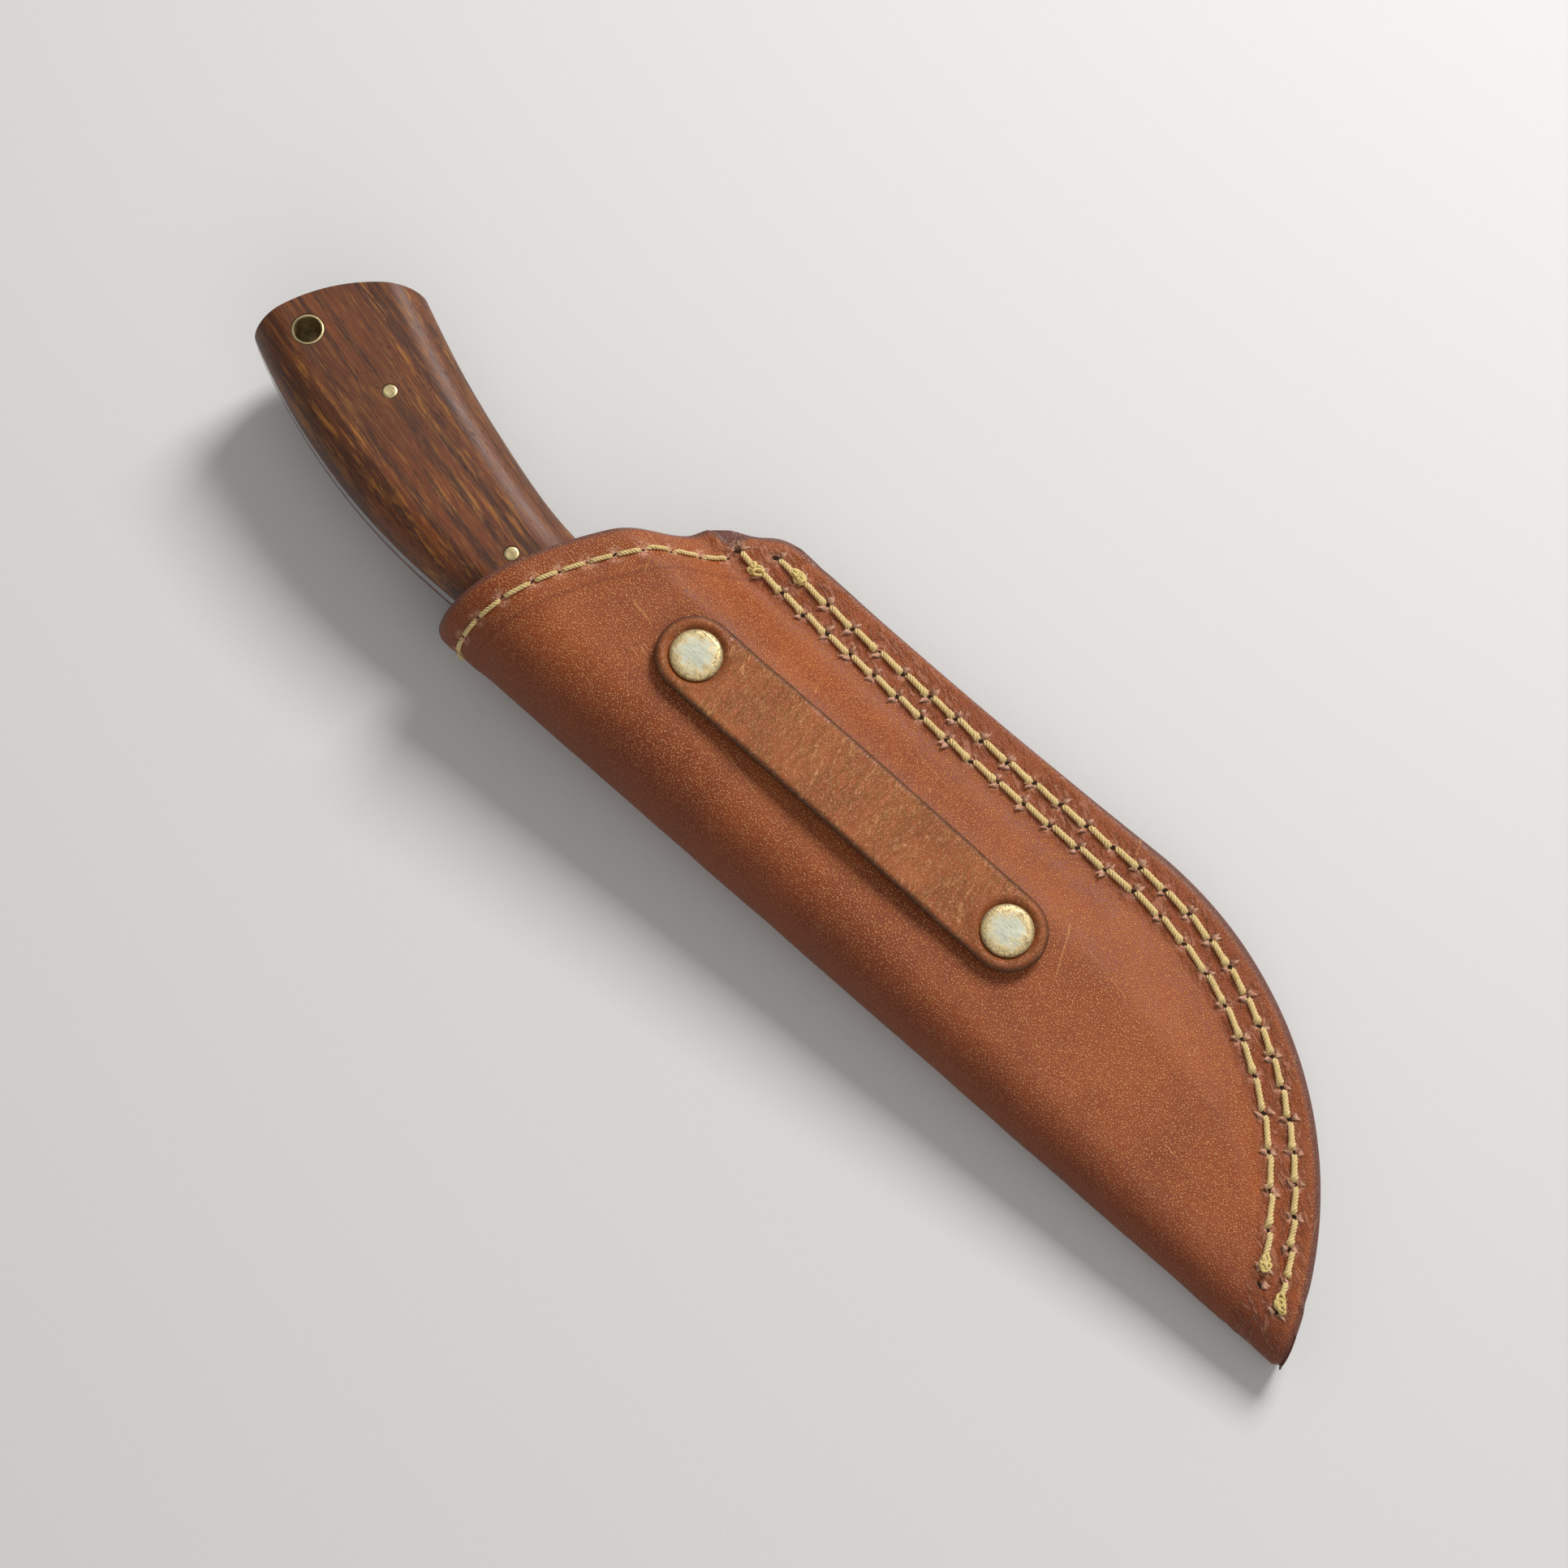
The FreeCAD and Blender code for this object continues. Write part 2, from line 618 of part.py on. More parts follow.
def rivet_hole(x):
    return on_top_face(Part.makeCylinder(
        POST_R + GLUE_GAP, 2 * LEATHER, V(rivet_x(x), STRAP_Y, 0.5 * LEATHER), V(0, 0, -1)))


# ---- The assembly --------------------------------------------------------------

def build():
    os.makedirs("parts", exist_ok=True)

    outline = sheath_outline()
    pocket = pocket_zone()
    outer_skin = skin(0)
    inner_skin = skin(LEATHER)
    sunk_skin = skin(THREAD_R + THREAD_SINK)
    groove_zone = rim_zone(MOUTH_ROW - GROOVE_WIDTH / 2, MOUTH_ROW + GROOVE_WIDTH / 2)
    groove_end_y = INNER_ROW + MOUTH_ROW_CLEAR - GROOVE_WIDTH / 2 - SHEATH_WIDTH
    groove_zone = groove_zone.common(Part.makeBox(
        WIDE, SHEATH_WIDTH + BEYOND, 2 * TALL, V(0, groove_end_y, -TALL)))
    groove = groove_zone.cut(skin(GROOVE_DEPTH))

    grooves = [groove] + [back_groove(*row[1:4]) for row in EDGE_ROWS]
    body = outer_skin.common(outline).cut([inner_skin] + grooves)
    body = body.cut([rivet_hole(UPPER_RIVET_X), rivet_hole(LOWER_RIVET_X), resting_plane()])
    export("sheath_body", body)

    sheet = Part.makeBox(WIDE, 2 * SHEATH_WIDTH, LEATHER,
                         V(-BEYOND, BEYOND - 2 * SHEATH_WIDTH, -LEATHER / 2))
    export("welt", sheet.common(inner_skin).common(outline).cut(pocket))

    band_zone = outline.common(rim_zone(0, LINING_DEPTH)).common(pocket)
    band = band_zone.common(skin(LEATHER + GLUE_GAP)).cut(skin(LEATHER + LINING))
    export("mouth_lining", band)

    export("belt_strap", belt_strap())
    export("upper_rivet_cap", rivet_cap(UPPER_RIVET_X))
    export("lower_rivet_cap", rivet_cap(LOWER_RIVET_X))
    export("upper_rivet_post", rivet_post(UPPER_RIVET_X))
    export("lower_rivet_post", rivet_post(LOWER_RIVET_X))

    for name, *row in EDGE_ROWS:
        holes = edge_holes(*row)
        export(name + "_face_thread", edge_thread(outer_skin, holes, THREAD_R + THREAD_GAP))
        export(name + "_back_thread", mirrored(edge_thread(sunk_skin, holes, 0.0)))
    mouth_holes = mouth_row(MOUTH_THREAD_R + THREAD_SINK)
    export("mouth_row_thread", thread(mouth_holes, MOUTH_THREAD_R))

    scale = handle_scale()
    export("top_handle_scale", scale)
    export("bottom_handle_scale", mirrored(scale))
    export("blade", knife_blade())
    export("lanyard_tube", lanyard_tube())
    export("rear_pin", rod(REAR_PIN_AT, PIN_R, HANDLE_HALF))
    export("middle_pin", rod(MIDDLE_PIN_AT, PIN_R, HANDLE_HALF))
    export("front_pin", rod(FRONT_PIN_AT, PIN_R, HANDLE_HALF))


build()
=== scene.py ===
"""Looks of a sheathed whittling knife: leather, thread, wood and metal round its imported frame."""

import json
import math
import random

import bmesh
import bpy
from bpy.props import FloatProperty, FloatVectorProperty, PointerProperty
from mathutils import Matrix, Vector, kdtree, noise
from mathutils.bvhtree import BVHTree


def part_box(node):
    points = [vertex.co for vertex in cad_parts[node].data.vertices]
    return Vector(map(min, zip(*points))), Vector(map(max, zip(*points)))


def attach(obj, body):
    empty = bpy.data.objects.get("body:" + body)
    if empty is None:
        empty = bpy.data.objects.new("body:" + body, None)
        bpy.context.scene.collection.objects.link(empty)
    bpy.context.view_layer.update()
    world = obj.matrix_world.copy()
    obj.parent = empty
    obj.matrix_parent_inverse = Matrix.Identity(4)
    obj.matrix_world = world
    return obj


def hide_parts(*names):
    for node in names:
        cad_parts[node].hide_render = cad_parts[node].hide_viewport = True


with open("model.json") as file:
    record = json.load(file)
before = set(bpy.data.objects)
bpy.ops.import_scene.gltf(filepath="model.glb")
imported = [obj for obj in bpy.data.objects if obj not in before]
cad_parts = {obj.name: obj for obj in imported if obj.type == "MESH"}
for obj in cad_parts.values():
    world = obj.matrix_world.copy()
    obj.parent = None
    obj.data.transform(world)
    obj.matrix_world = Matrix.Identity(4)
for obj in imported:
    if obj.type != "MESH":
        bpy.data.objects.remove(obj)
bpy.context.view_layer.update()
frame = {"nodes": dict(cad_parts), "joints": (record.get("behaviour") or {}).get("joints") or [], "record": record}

bl_info = {
    "name": "Sheathed knife looks",
    "version": (1, 0, 0),
    "blender": (4, 5, 0),
    "location": "View3D > Sidebar > Knife",
    "description": "Models the leather, stitching, wood and metal of a knife in its sheath",
    "category": "Object",
}

MM = 0.001

# ---- Drawing frame -----------------------------------------------------------
# Millimetres: X runs along the fold from the sheath's tip to the butt, the fold
# is at Y = 0 with the stitched edge on the -Y side, Z = 0 is the blade's middle.

LANYARD = {m["name"]: m for m in frame["record"]["mounts"]}["lanyard_hole"]
ALONG = Vector(frame["joints"][0]["axis"]).normalized()
UP = Vector(LANYARD["axis"]).normalized()
ACROSS = UP.cross(ALONG)
LANYARD_AT = Vector((216.1, -21.1, 0.0))
BENCH = (
    Matrix.Translation(LANYARD["pos_m"])
    @ Matrix((ALONG, ACROSS, UP)).transposed().to_4x4()
    @ Matrix.Scale(MM, 4)
    @ Matrix.Translation(-LANYARD_AT)
)
TO_BENCH = BENCH.inverted()
TAPER = ALONG.z / ALONG.x
LIE_ANGLE = math.atan(TAPER)


def box_size(node):
    low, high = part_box(node)
    return (high - low) / MM


def box_centre(node):
    low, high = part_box(node)
    return (low + high) / 2


# ---- The sheath's plan and skin, in the drawing frame ------------------------

SHEATH_WIDTH = box_size("sheath_body").y
SHEATH_LENGTH = 169.0
BELLY_RUN = 62.0
EDGE_SAG = 0.9
MOUTH_SLANT = 30.5
MOUTH_BOW = 5.2
MOUTH_CORNER = 8.0
LEATHER = 2.5
STACK_HALF = 1.5 * LEATHER
TIP_HALF = 4.5
STITCH_BORDER = 8.6
CROWN_SHARE = 0.56
CROWN_EASE = 0.42
CROWN_MIN = 6.0
HANDLE_HALF = 8.0
MOUTH_ROW = 4.2
INNER_ROW = 7.5

BELLY_R = (BELLY_RUN ** 2 + SHEATH_WIDTH ** 2) / (2 * SHEATH_WIDTH)
BELLY_CENTRE = Vector((BELLY_RUN, BELLY_R - SHEATH_WIDTH))
EDGE_END_X = SHEATH_LENGTH - MOUTH_SLANT
RIM_CHORD = math.hypot(MOUTH_SLANT, SHEATH_WIDTH)
RIM_R = (RIM_CHORD ** 2 / 4 + MOUTH_BOW ** 2) / (2 * MOUTH_BOW)
RIM_OUT = Vector((SHEATH_WIDTH, -MOUTH_SLANT)) / RIM_CHORD
RIM_CENTRE = Vector(((SHEATH_LENGTH + EDGE_END_X) / 2, -SHEATH_WIDTH / 2))
RIM_CENTRE = RIM_CENTRE - RIM_OUT * (RIM_R - MOUTH_BOW)
CORNER_Y = MOUTH_CORNER - SHEATH_WIDTH
CORNER_RUN = math.sqrt((RIM_R - MOUTH_CORNER) ** 2 - (CORNER_Y - RIM_CENTRE.y) ** 2)
CORNER_X = RIM_CENTRE.x + CORNER_RUN


def half_at(x):
    """Half the sheath's thickness over its flat crown."""
    return TIP_HALF + TAPER * x


def edge_at(x):
    """Distance from the fold to the stitched edge."""
    back = BELLY_RUN - min(max(x, 0.0), BELLY_RUN)
    return math.sqrt(BELLY_R ** 2 - back ** 2) - BELLY_CENTRE.y


def rim_x(y):
    """X of the mouth's rim, with its rounded corner."""
    turn_y = RIM_CENTRE.y + (CORNER_Y - RIM_CENTRE.y) * RIM_R / (RIM_R - MOUTH_CORNER)
    if y < turn_y:
        return CORNER_X + math.sqrt(max(0.0, MOUTH_CORNER ** 2 - (y - CORNER_Y) ** 2))
    return RIM_CENTRE.x + math.sqrt(RIM_R ** 2 - (y - RIM_CENTRE.y) ** 2)


def rim_depth(x, y):
    """How far a point of the plan lies inside the mouth's rim."""
    if x < RIM_CENTRE.x:
        return RIM_R
    return RIM_R - (Vector((x, y)) - RIM_CENTRE).length


def edge_inset(x, y):
    """How far a point of the plan lies inside the stitched edge."""
    if x < BELLY_RUN:
        return BELLY_R - (Vector((x, y)) - BELLY_CENTRE).length
    return SHEATH_WIDTH + y


def slope_share(share):
    """How far down the eased slope lies, a given share of the way across it."""
    low, high = 0.0, 1.0
    for _ in range(12):
        t = (low + high) / 2
        across = 3 * t * (1 - t) * (CROWN_EASE * (1 - t) + (1 - CROWN_EASE) * t) + t ** 3
        low, high = (t, high) if across < share else (low, t)
    return t * t * (3 - 2 * t)


def skin_height(x, y):
    """Height of the sheath's upper skin above the blade's mid-plane."""
    half = half_at(x)
    if -y <= half:
        return math.sqrt(max(0.0, half ** 2 - (half + y) ** 2))
    slope_end = max(edge_at(x) - STITCH_BORDER, half + CROWN_MIN)
    crown_end = half + CROWN_SHARE * (slope_end - half)
    if -y <= crown_end:
        return half
    if -y >= slope_end:
        return STACK_HALF
    share = (-y - crown_end) / (slope_end - crown_end)
    return half + (STACK_HALF - half) * slope_share(share)


# ---- Mesh helpers --------------------------------------------------------------

def finish_mesh(name, bm, materials, matrix=None, smooth=True):
    """A named object at the origin, with its place in its mesh."""
    if matrix is not None:
        bmesh.ops.transform(bm, matrix=matrix, verts=bm.verts)
    mesh = bpy.data.meshes.new(name)
    bm.to_mesh(mesh)
    bm.free()
    for face in mesh.polygons:
        face.use_smooth = smooth
    return finish_object(name, mesh, materials)


def finish_object(name, mesh, materials):
    piece = bpy.data.objects.new(name, mesh)
    bpy.context.scene.collection.objects.link(piece)
    for made in materials:
        mesh.materials.append(made)
    return piece


def settle(piece, body, slot, *nodes):
    """Attach a finished piece to the body it rides on and hide the imported nodes it stands for; the slot, its
    finish, is not used.
    """
    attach(piece, body)
    if nodes:
        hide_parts(*nodes)


def merged_copy(node):
    """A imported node's mesh as one joined surface."""
    bm = bmesh.new()
    bm.from_mesh(frame["nodes"][node].data)
    bmesh.ops.remove_doubles(bm, verts=bm.verts, dist=2e-6)
    return bm


def cords_to_mesh(name, lines, radius, materials, sides=1):
    """Round cords, each a list of (point, thickness) in drawing-frame millimetres."""
    curve = bpy.data.curves.new(name + "_curve", "CURVE")
    curve.dimensions = "3D"
    curve.bevel_depth = radius * MM
    curve.bevel_resolution = sides
    curve.use_fill_caps = True
    for line in lines:
        spline = curve.splines.new("POLY")
        spline.points.add(len(line) - 1)
        for point, (place, thickness) in zip(spline.points, line):
            point.co = (*(BENCH @ place), 1)
            point.radius = thickness
    holder = bpy.data.objects.new(name + "_curve", curve)
    bpy.context.scene.collection.objects.link(holder)
    bpy.context.view_layer.update()
    mesh = bpy.data.meshes.new_from_object(holder.evaluated_get(
        bpy.context.evaluated_depsgraph_get()))
    bpy.data.objects.remove(holder)
    bpy.data.curves.remove(curve)
    mesh.name = name
    for face in mesh.polygons:
        face.use_smooth = True
    mesh.materials.clear()
    return finish_object(name, mesh, materials)


def add_leather_thickness(piece, thickness, flesh, rim):
    """Gives a sheet its thickness, with its own finishes for the flesh side and the cut edge."""
    shell = piece.modifiers.new("leather_thickness", "SOLIDIFY")
    shell.thickness = thickness * MM
    shell.offset = -1
    shell.use_even_offset = True
    shell.material_offset = flesh
    shell.material_offset_rim = rim


def add_bevel(piece, width, segments, angle):
    edge = piece.modifiers.new("rounded_edges", "BEVEL")
    edge.width = width * MM
    edge.segments = segments
    edge.limit_method = "ANGLE"
    edge.angle_limit = math.radians(angle)
    edge.use_clamp_overlap = True


# ---- Shader helpers ---------------------------------------------------------------

def add(tree, kind, settings=None, inputs=None):
    """A node with its settings and its inputs, each a value or another socket."""
    made = tree.nodes.new(kind)
    for key, value in (settings or {}).items():
        setattr(made, key, value)
    for key, value in (inputs or {}).items():
        if isinstance(value, bpy.types.NodeSocket):
            tree.links.new(value, made.inputs[key])
        else:
            made.inputs[key].default_value = value
    return made


def sums(tree, operation, a, b=0.0):
    return add(tree, "ShaderNodeMath", {"operation": operation}, {0: a, 1: b}).outputs[0]


def times(tree, a, b):
    return sums(tree, "MULTIPLY", a, b)


def mixed(tree, factor, a, b):
    """Blend of two colours."""
    settings = {"data_type": "RGBA", "blend_type": "MIX", "clamp_factor": True}
    return add(tree, "ShaderNodeMix", settings, {0: factor, 6: a, 7: b}).outputs[2]


def fade(tree, value, start, end, low=0.0, high=1.0):
    """Smooth change from low to high as a value goes from start to end."""
    made = add(tree, "ShaderNodeMapRange", {"interpolation_type": "SMOOTHSTEP"}, {
        "Value": value, "From Min": start, "From Max": end, "To Min": low, "To Max": high})
    return made.outputs["Result"]


def millimetres(tree, stretch=(1, 1, 1), turn=0.0):
    """Object coordinates in millimetres, turned about Z and stretched."""
    place = add(tree, "ShaderNodeTexCoord").outputs["Object"]
    scale = [s / MM for s in stretch]
    turned = add(tree, "ShaderNodeMapping", inputs={
        "Vector": place, "Rotation": (0, 0, turn)}).outputs[0]
    return add(tree, "ShaderNodeMapping", inputs={"Vector": turned, "Scale": scale}).outputs[0]


def cloud(tree, vector, scale, detail=3.0, roughness=0.5, distortion=0.0):
    return add(tree, "ShaderNodeTexNoise", inputs={
        "Vector": vector, "Scale": scale, "Detail": detail, "Roughness": roughness,
        "Distortion": distortion}).outputs["Fac"]


def cells(tree, vector, scale, feature="F1", output="Distance"):
    return add(tree, "ShaderNodeTexVoronoi", {"feature": feature}, {
        "Vector": vector, "Scale": scale}).outputs[output]


def attribute(tree, name):
    return add(tree, "ShaderNodeAttribute", {"attribute_name": name}).outputs["Fac"]


def bumped(tree, height, depth, normal=None):
    """Normal of a relief a given depth in millimetres."""
    inputs = {"Height": height, "Distance": depth * MM, "Strength": 1.0}
    if normal is not None:
        inputs["Normal"] = normal
    return add(tree, "ShaderNodeBump", inputs=inputs).outputs[0]


def placed(tree, group, **inputs):
    made = add(tree, "ShaderNodeGroup", {"node_tree": group}, inputs)
    return made.outputs


def group_of(name, takes, gives):
    """An empty node group with float or vector inputs and float outputs."""
    group = bpy.data.node_groups.new(name, "ShaderNodeTree")
    for label, kind, value in takes:
        socket = group.interface.new_socket(
            name=label, in_out="INPUT", socket_type="NodeSocket" + kind)
        if value is not None:
            socket.default_value = value
    for label in gives:
        group.interface.new_socket(name=label, in_out="OUTPUT", socket_type="NodeSocketFloat")
    return group, group.nodes.new("NodeGroupInput"), group.nodes.new("NodeGroupOutput")


def new_material(name):
    made = bpy.data.materials.new(name)
    made.use_nodes = True
    made.node_tree.nodes.clear()
    return made, made.node_tree


def close_material(tree, shader):
    add(tree, "ShaderNodeOutputMaterial", inputs={"Surface": shader.outputs[0]})


# ---- Shared effects -------------------------------------------------------------------

def pebble_group():
    """Grain of tanned leather: pebbles with pits between them."""
    group, takes, gives = group_of(
        "leather_pebble",
        [("Vector", "Vector", None), ("Density", "Float", 1.4)],
        ["Height", "Pits", "Tops"])
    vector, density = takes.outputs["Vector"], takes.outputs["Density"]
    bent = add(group, "ShaderNodeTexNoise", inputs={
        "Vector": vector, "Scale": 0.9, "Detail": 2.0}).outputs["Color"]
    warped = add(group, "ShaderNodeVectorMath", {"operation": "MULTIPLY_ADD"}, {
        0: bent, 1: (0.5, 0.5, 0.5), 2: vector}).outputs[0]
    near = add(group, "ShaderNodeTexVoronoi", {"feature": "F1"}, {
        "Vector": warped, "Scale": density})
    border = add(group, "ShaderNodeTexVoronoi", {"feature": "DISTANCE_TO_EDGE"}, {
        "Vector": warped, "Scale": density}).outputs["Distance"]
    fine = cloud(group, vector, 5.5, 3.0, 0.6)
    size = add(group, "ShaderNodeSeparateColor", inputs={
        "Color": near.outputs["Color"]}).outputs[0]
    dome = fade(group, near.outputs["Distance"], 0.62, 0.05)
    tall = times(group, dome, fade(group, size, 0.0, 1.0, 0.45, 1.0))
    height = sums(group, "ADD", tall, times(group, fine, 0.35))
    tops = times(group, fade(group, near.outputs["Distance"], 0.4, 0.22),
                fade(group, size, 0.0, 0.5, 0.4, 1.0))
    group.links.new(height, gives.inputs["Height"])
    group.links.new(fade(group, border, 0.12, 0.0), gives.inputs["Pits"])
    group.links.new(tops, gives.inputs["Tops"])
    return group


def tarnish_group():
    """Stains, specks and fine scratches on worn metal."""
    group, takes, gives = group_of(
        "metal_tarnish",
        [("Vector", "Vector", None), ("Size", "Float", 1.0)],
        ["Stain", "Specks", "Scratches"])
    vector, size = takes.outputs["Vector"], takes.outputs["Size"]
    near = sums(group, "DIVIDE", 1.0, size)
    stain = add(group, "ShaderNodeTexNoise", inputs={
        "Vector": vector, "Scale": near, "Detail": 6.0, "Roughness": 0.62}).outputs["Fac"]
    specks = cloud(group, vector, 6.0, 2.0, 0.7)
    total = None
    for turn in (0.4, 1.3, 2.5):
        turned = add(group, "ShaderNodeMapping", inputs={
            "Vector": vector, "Rotation": (0, 0, turn), "Scale": (0.35, 9.0, 1.0)}).outputs[0]
        line = fade(group, cloud(group, turned, 1.0, 2.0, 0.5), 0.62, 0.7)
        total = line if total is None else sums(group, "MAXIMUM", total, line)
    group.links.new(stain, gives.inputs["Stain"])
    group.links.new(fade(group, specks, 0.58, 0.7), gives.inputs["Specks"])
    group.links.new(total, gives.inputs["Scratches"])
    return group


def fibre_group():
    """Short loose fibres, as on raw leather and thread."""
    group, takes, gives = group_of(
        "loose_fibre", [("Vector", "Vector", None), ("Density", "Float", 3.0)],
        ["Height", "Shade"])
    vector, density = takes.outputs["Vector"], takes.outputs["Density"]
    bent = add(group, "ShaderNodeTexNoise", inputs={
        "Vector": vector, "Scale": density, "Detail": 4.0, "Roughness": 0.7,
        "Distortion": 1.2}).outputs["Fac"]
    shade = cloud(group, vector, 1.1, 3.0, 0.6)
    group.links.new(bent, gives.inputs["Height"])
    group.links.new(shade, gives.inputs["Shade"])
    return group


EFFECTS = {"pebble": pebble_group, "tarnish": tarnish_group, "fibre": fibre_group}


def effect(name):
    """A shared effect, built the first time that it is asked for."""
    label = "knife_" + name
    if label not in bpy.data.node_groups:
        EFFECTS[name]().name = label
    return bpy.data.node_groups[label]


def rgba(colour):
    return (*colour, 1.0)


# ---- Materials ---------------------------------------------------------------------------

def sheath_leather_material(look):
    """Reddish tan grain leather, burnished towards its edges and scuffed at the holes, with painted shade towards
    the fold, round the holes and along the lining's edge, and painted highlights on pebble tops and border
    creases.
    """
    made, tree = new_material("sheath_leather")
    place = millimetres(tree)
    pebble = placed(tree, effect("pebble"), Vector=place, Density=look.pebble_density)
    inset = attribute(tree, "edge_inset")
    rim = attribute(tree, "rim_inset")
    hole = attribute(tree, "hole_distance")
    fold = attribute(tree, "fold_distance")
    border = times(tree, fade(tree, inset, 10.5, 8.2), fade(tree, inset, 1.0, 2.4))

    broad = cloud(tree, place, 0.045, 3.0, 0.55)
    mottle = cloud(tree, place, 0.35, 4.0, 0.6)
    base = mixed(tree, fade(tree, broad, 0.3, 0.7), rgba(look.leather_deep), rgba(look.leather))
    base = mixed(tree, fade(tree, mottle, 0.35, 0.75, 0.0, 0.35), base, rgba(look.leather_warm))
    base = mixed(tree, times(tree, pebble["Pits"], 0.7), base, rgba(look.leather_pit_and_shade))
    # Pebble tops painted paler: partly rubbed wear, partly a painted highlight where the bumps catch the light.
    grain = times(tree, pebble["Tops"], fade(tree, border, 0.0, 1.0, 0.85, 0.35))
    base = mixed(tree, grain, base, rgba(look.leather_top))
    base = mixed(tree, times(tree, border, 0.42), base, rgba(look.leather_deep))

    burnt = sums(tree, "MAXIMUM", fade(tree, inset, 1.6, 0.5), fade(tree, rim, 1.2, 0.1))
    base = mixed(tree, times(tree, burnt, 0.8), base, rgba(look.edge_rubbed))
    # Painted shade: darker towards the round fold, where the leather turns away from the light.
    fold_painted_shade = times(tree, fade(tree, fold, 11.0, 0.0), 0.6)
    base = mixed(tree, fold_painted_shade, base, rgba(look.leather_pit_and_shade))
    # Painted shade: a dark band 7.6 mm inside the rim, in the crease over the lining's buried edge.
    lining_edge_painted_shade = times(tree, fade(tree, sums(tree, "ABSOLUTE", sums(
        tree, "SUBTRACT", rim, 7.6)), 0.5, 0.0), 0.35)
    base = mixed(tree, lining_edge_painted_shade, base, rgba(look.leather_pit_and_shade))

    crease_place = millimetres(tree, (0.5, 1.6, 1.0), 0.5)
    crease = fade(tree, cloud(tree, crease_place, 0.55, 5.0, 0.7, 0.8), 0.5, 0.58)
    scuff = times(tree, fade(tree, hole, 2.0, 0.5), fade(tree, cloud(
        tree, place, 1.9, 4.0, 0.7), 0.42, 0.58))
    # Pale patches: scuffs round the holes are real wear; the pale creases of the border are painted highlight.
    pale = sums(tree, "MAXIMUM", scuff, times(tree, times(
        tree, border, crease), 0.22))
    base = mixed(tree, times(tree, pale, 0.62), base, rgba(look.torn))
    # Painted shade round each stitch hole, in the burnished edge's dark colour.
    base = mixed(tree, fade(tree, hole, 0.75, 0.35, 0.0, 0.85), base, rgba(look.edge_dark_and_hole_shade))

    scratch = None
    for turn in (1.15, 0.2):
        scratch_place = millimetres(tree, (0.05, 1.3, 1.0), turn)
        line = fade(tree, cloud(tree, scratch_place, 0.8, 2.0, 0.5), 0.715, 0.735)
        scratch = line if scratch is None else sums(tree, "MAXIMUM", scratch, line)
    scratch = times(tree, scratch, fade(tree, fold, 5.0, 10.0))
    base = mixed(tree, times(tree, scratch, 0.3), base, rgba(look.leather_top))

    relief = sums(tree, "ADD", pebble["Height"], times(tree, times(
        tree, border, crease), 1.2))
    relief = sums(tree, "SUBTRACT", relief, times(tree, scratch, 0.5))
    rough = sums(tree, "ADD", fade(tree, mottle, 0.3, 0.7, 0.46, 0.56),
                 times(tree, pale, 0.15))
    rough = sums(tree, "SUBTRACT", rough, times(tree, border, 0.08))
    rough = sums(tree, "SUBTRACT", rough, times(tree, burnt, 0.2))
    shader = add(tree, "ShaderNodeBsdfPrincipled", inputs={
        "Base Color": base, "Roughness": rough, "Specular IOR Level": 0.3,
        "Normal": bumped(tree, relief, look.pebble_depth)})
    close_material(tree, shader)
    return made


def strap_leather_material(look):
    """Smoother tan leather with fine wrinkles across it, the wrinkle ridges and pebble tops painted pale as a
    highlight.
    """
    made, tree = new_material("strap_leather")
    place = millimetres(tree)
    pebble = placed(tree, effect("pebble"), Vector=place, Density=2.6)
    rim = attribute(tree, "rim_inset")
    rivet = attribute(tree, "rivet_distance")

    wrinkle_and_ridge_highlight = None
    for scale, turn, width, weight in ((0.62, -0.28, 0.05, 1.0), (1.15, 0.1, 0.05, 0.65)):
        across = millimetres(tree, (1.3, 0.3, 0.6), turn)
        vein = cloud(tree, across, scale, 5.0, 0.62, 0.5)
        line = fade(tree, sums(tree, "ABSOLUTE", sums(tree, "SUBTRACT", vein, 0.5)), width, 0.0)
        line = times(tree, line, weight)
        wrinkle_and_ridge_highlight = line if wrinkle_and_ridge_highlight is None else sums(tree, "MAXIMUM", wrinkle_and_ridge_highlight, line)
    patch = fade(tree, cloud(tree, place, 0.16, 3.0, 0.6), 0.36, 0.56, 0.25, 1.0)
    wrinkle_and_ridge_highlight = times(tree, wrinkle_and_ridge_highlight, patch)

    broad = cloud(tree, place, 0.09, 3.0, 0.55)
    base = mixed(tree, fade(tree, broad, 0.3, 0.7), rgba(look.strap_deep), rgba(look.strap))
    base = mixed(tree, times(tree, pebble["Pits"], 0.35), base, rgba(look.strap_deep))
    # Painted highlight: pebble tops and wrinkle ridges painted pale; the wrinkles are also real relief below.
    base = mixed(tree, times(tree, pebble["Tops"], 0.25), base, rgba(look.strap_highlight))
    base = mixed(tree, times(tree, wrinkle_and_ridge_highlight, 0.62), base, rgba(look.strap_highlight))
    burnt = fade(tree, rim, 1.1, 0.0)
    base = mixed(tree, times(tree, burnt, 0.8), base, rgba(look.edge_dark_and_hole_shade))
    pressed = times(tree, fade(tree, rivet, 6.6, 4.6), 0.45)
    base = mixed(tree, pressed, base, rgba(look.strap_deep))

    relief = sums(tree, "ADD", times(tree, pebble["Height"], 0.4), wrinkle_and_ridge_highlight)
    shader = add(tree, "ShaderNodeBsdfPrincipled", inputs={
        "Base Color": base, "Roughness": fade(tree, broad, 0.3, 0.7, 0.36, 0.45),
        "Specular IOR Level": 0.38, "Normal": bumped(tree, relief, 0.14)})
    close_material(tree, shader)
    return made


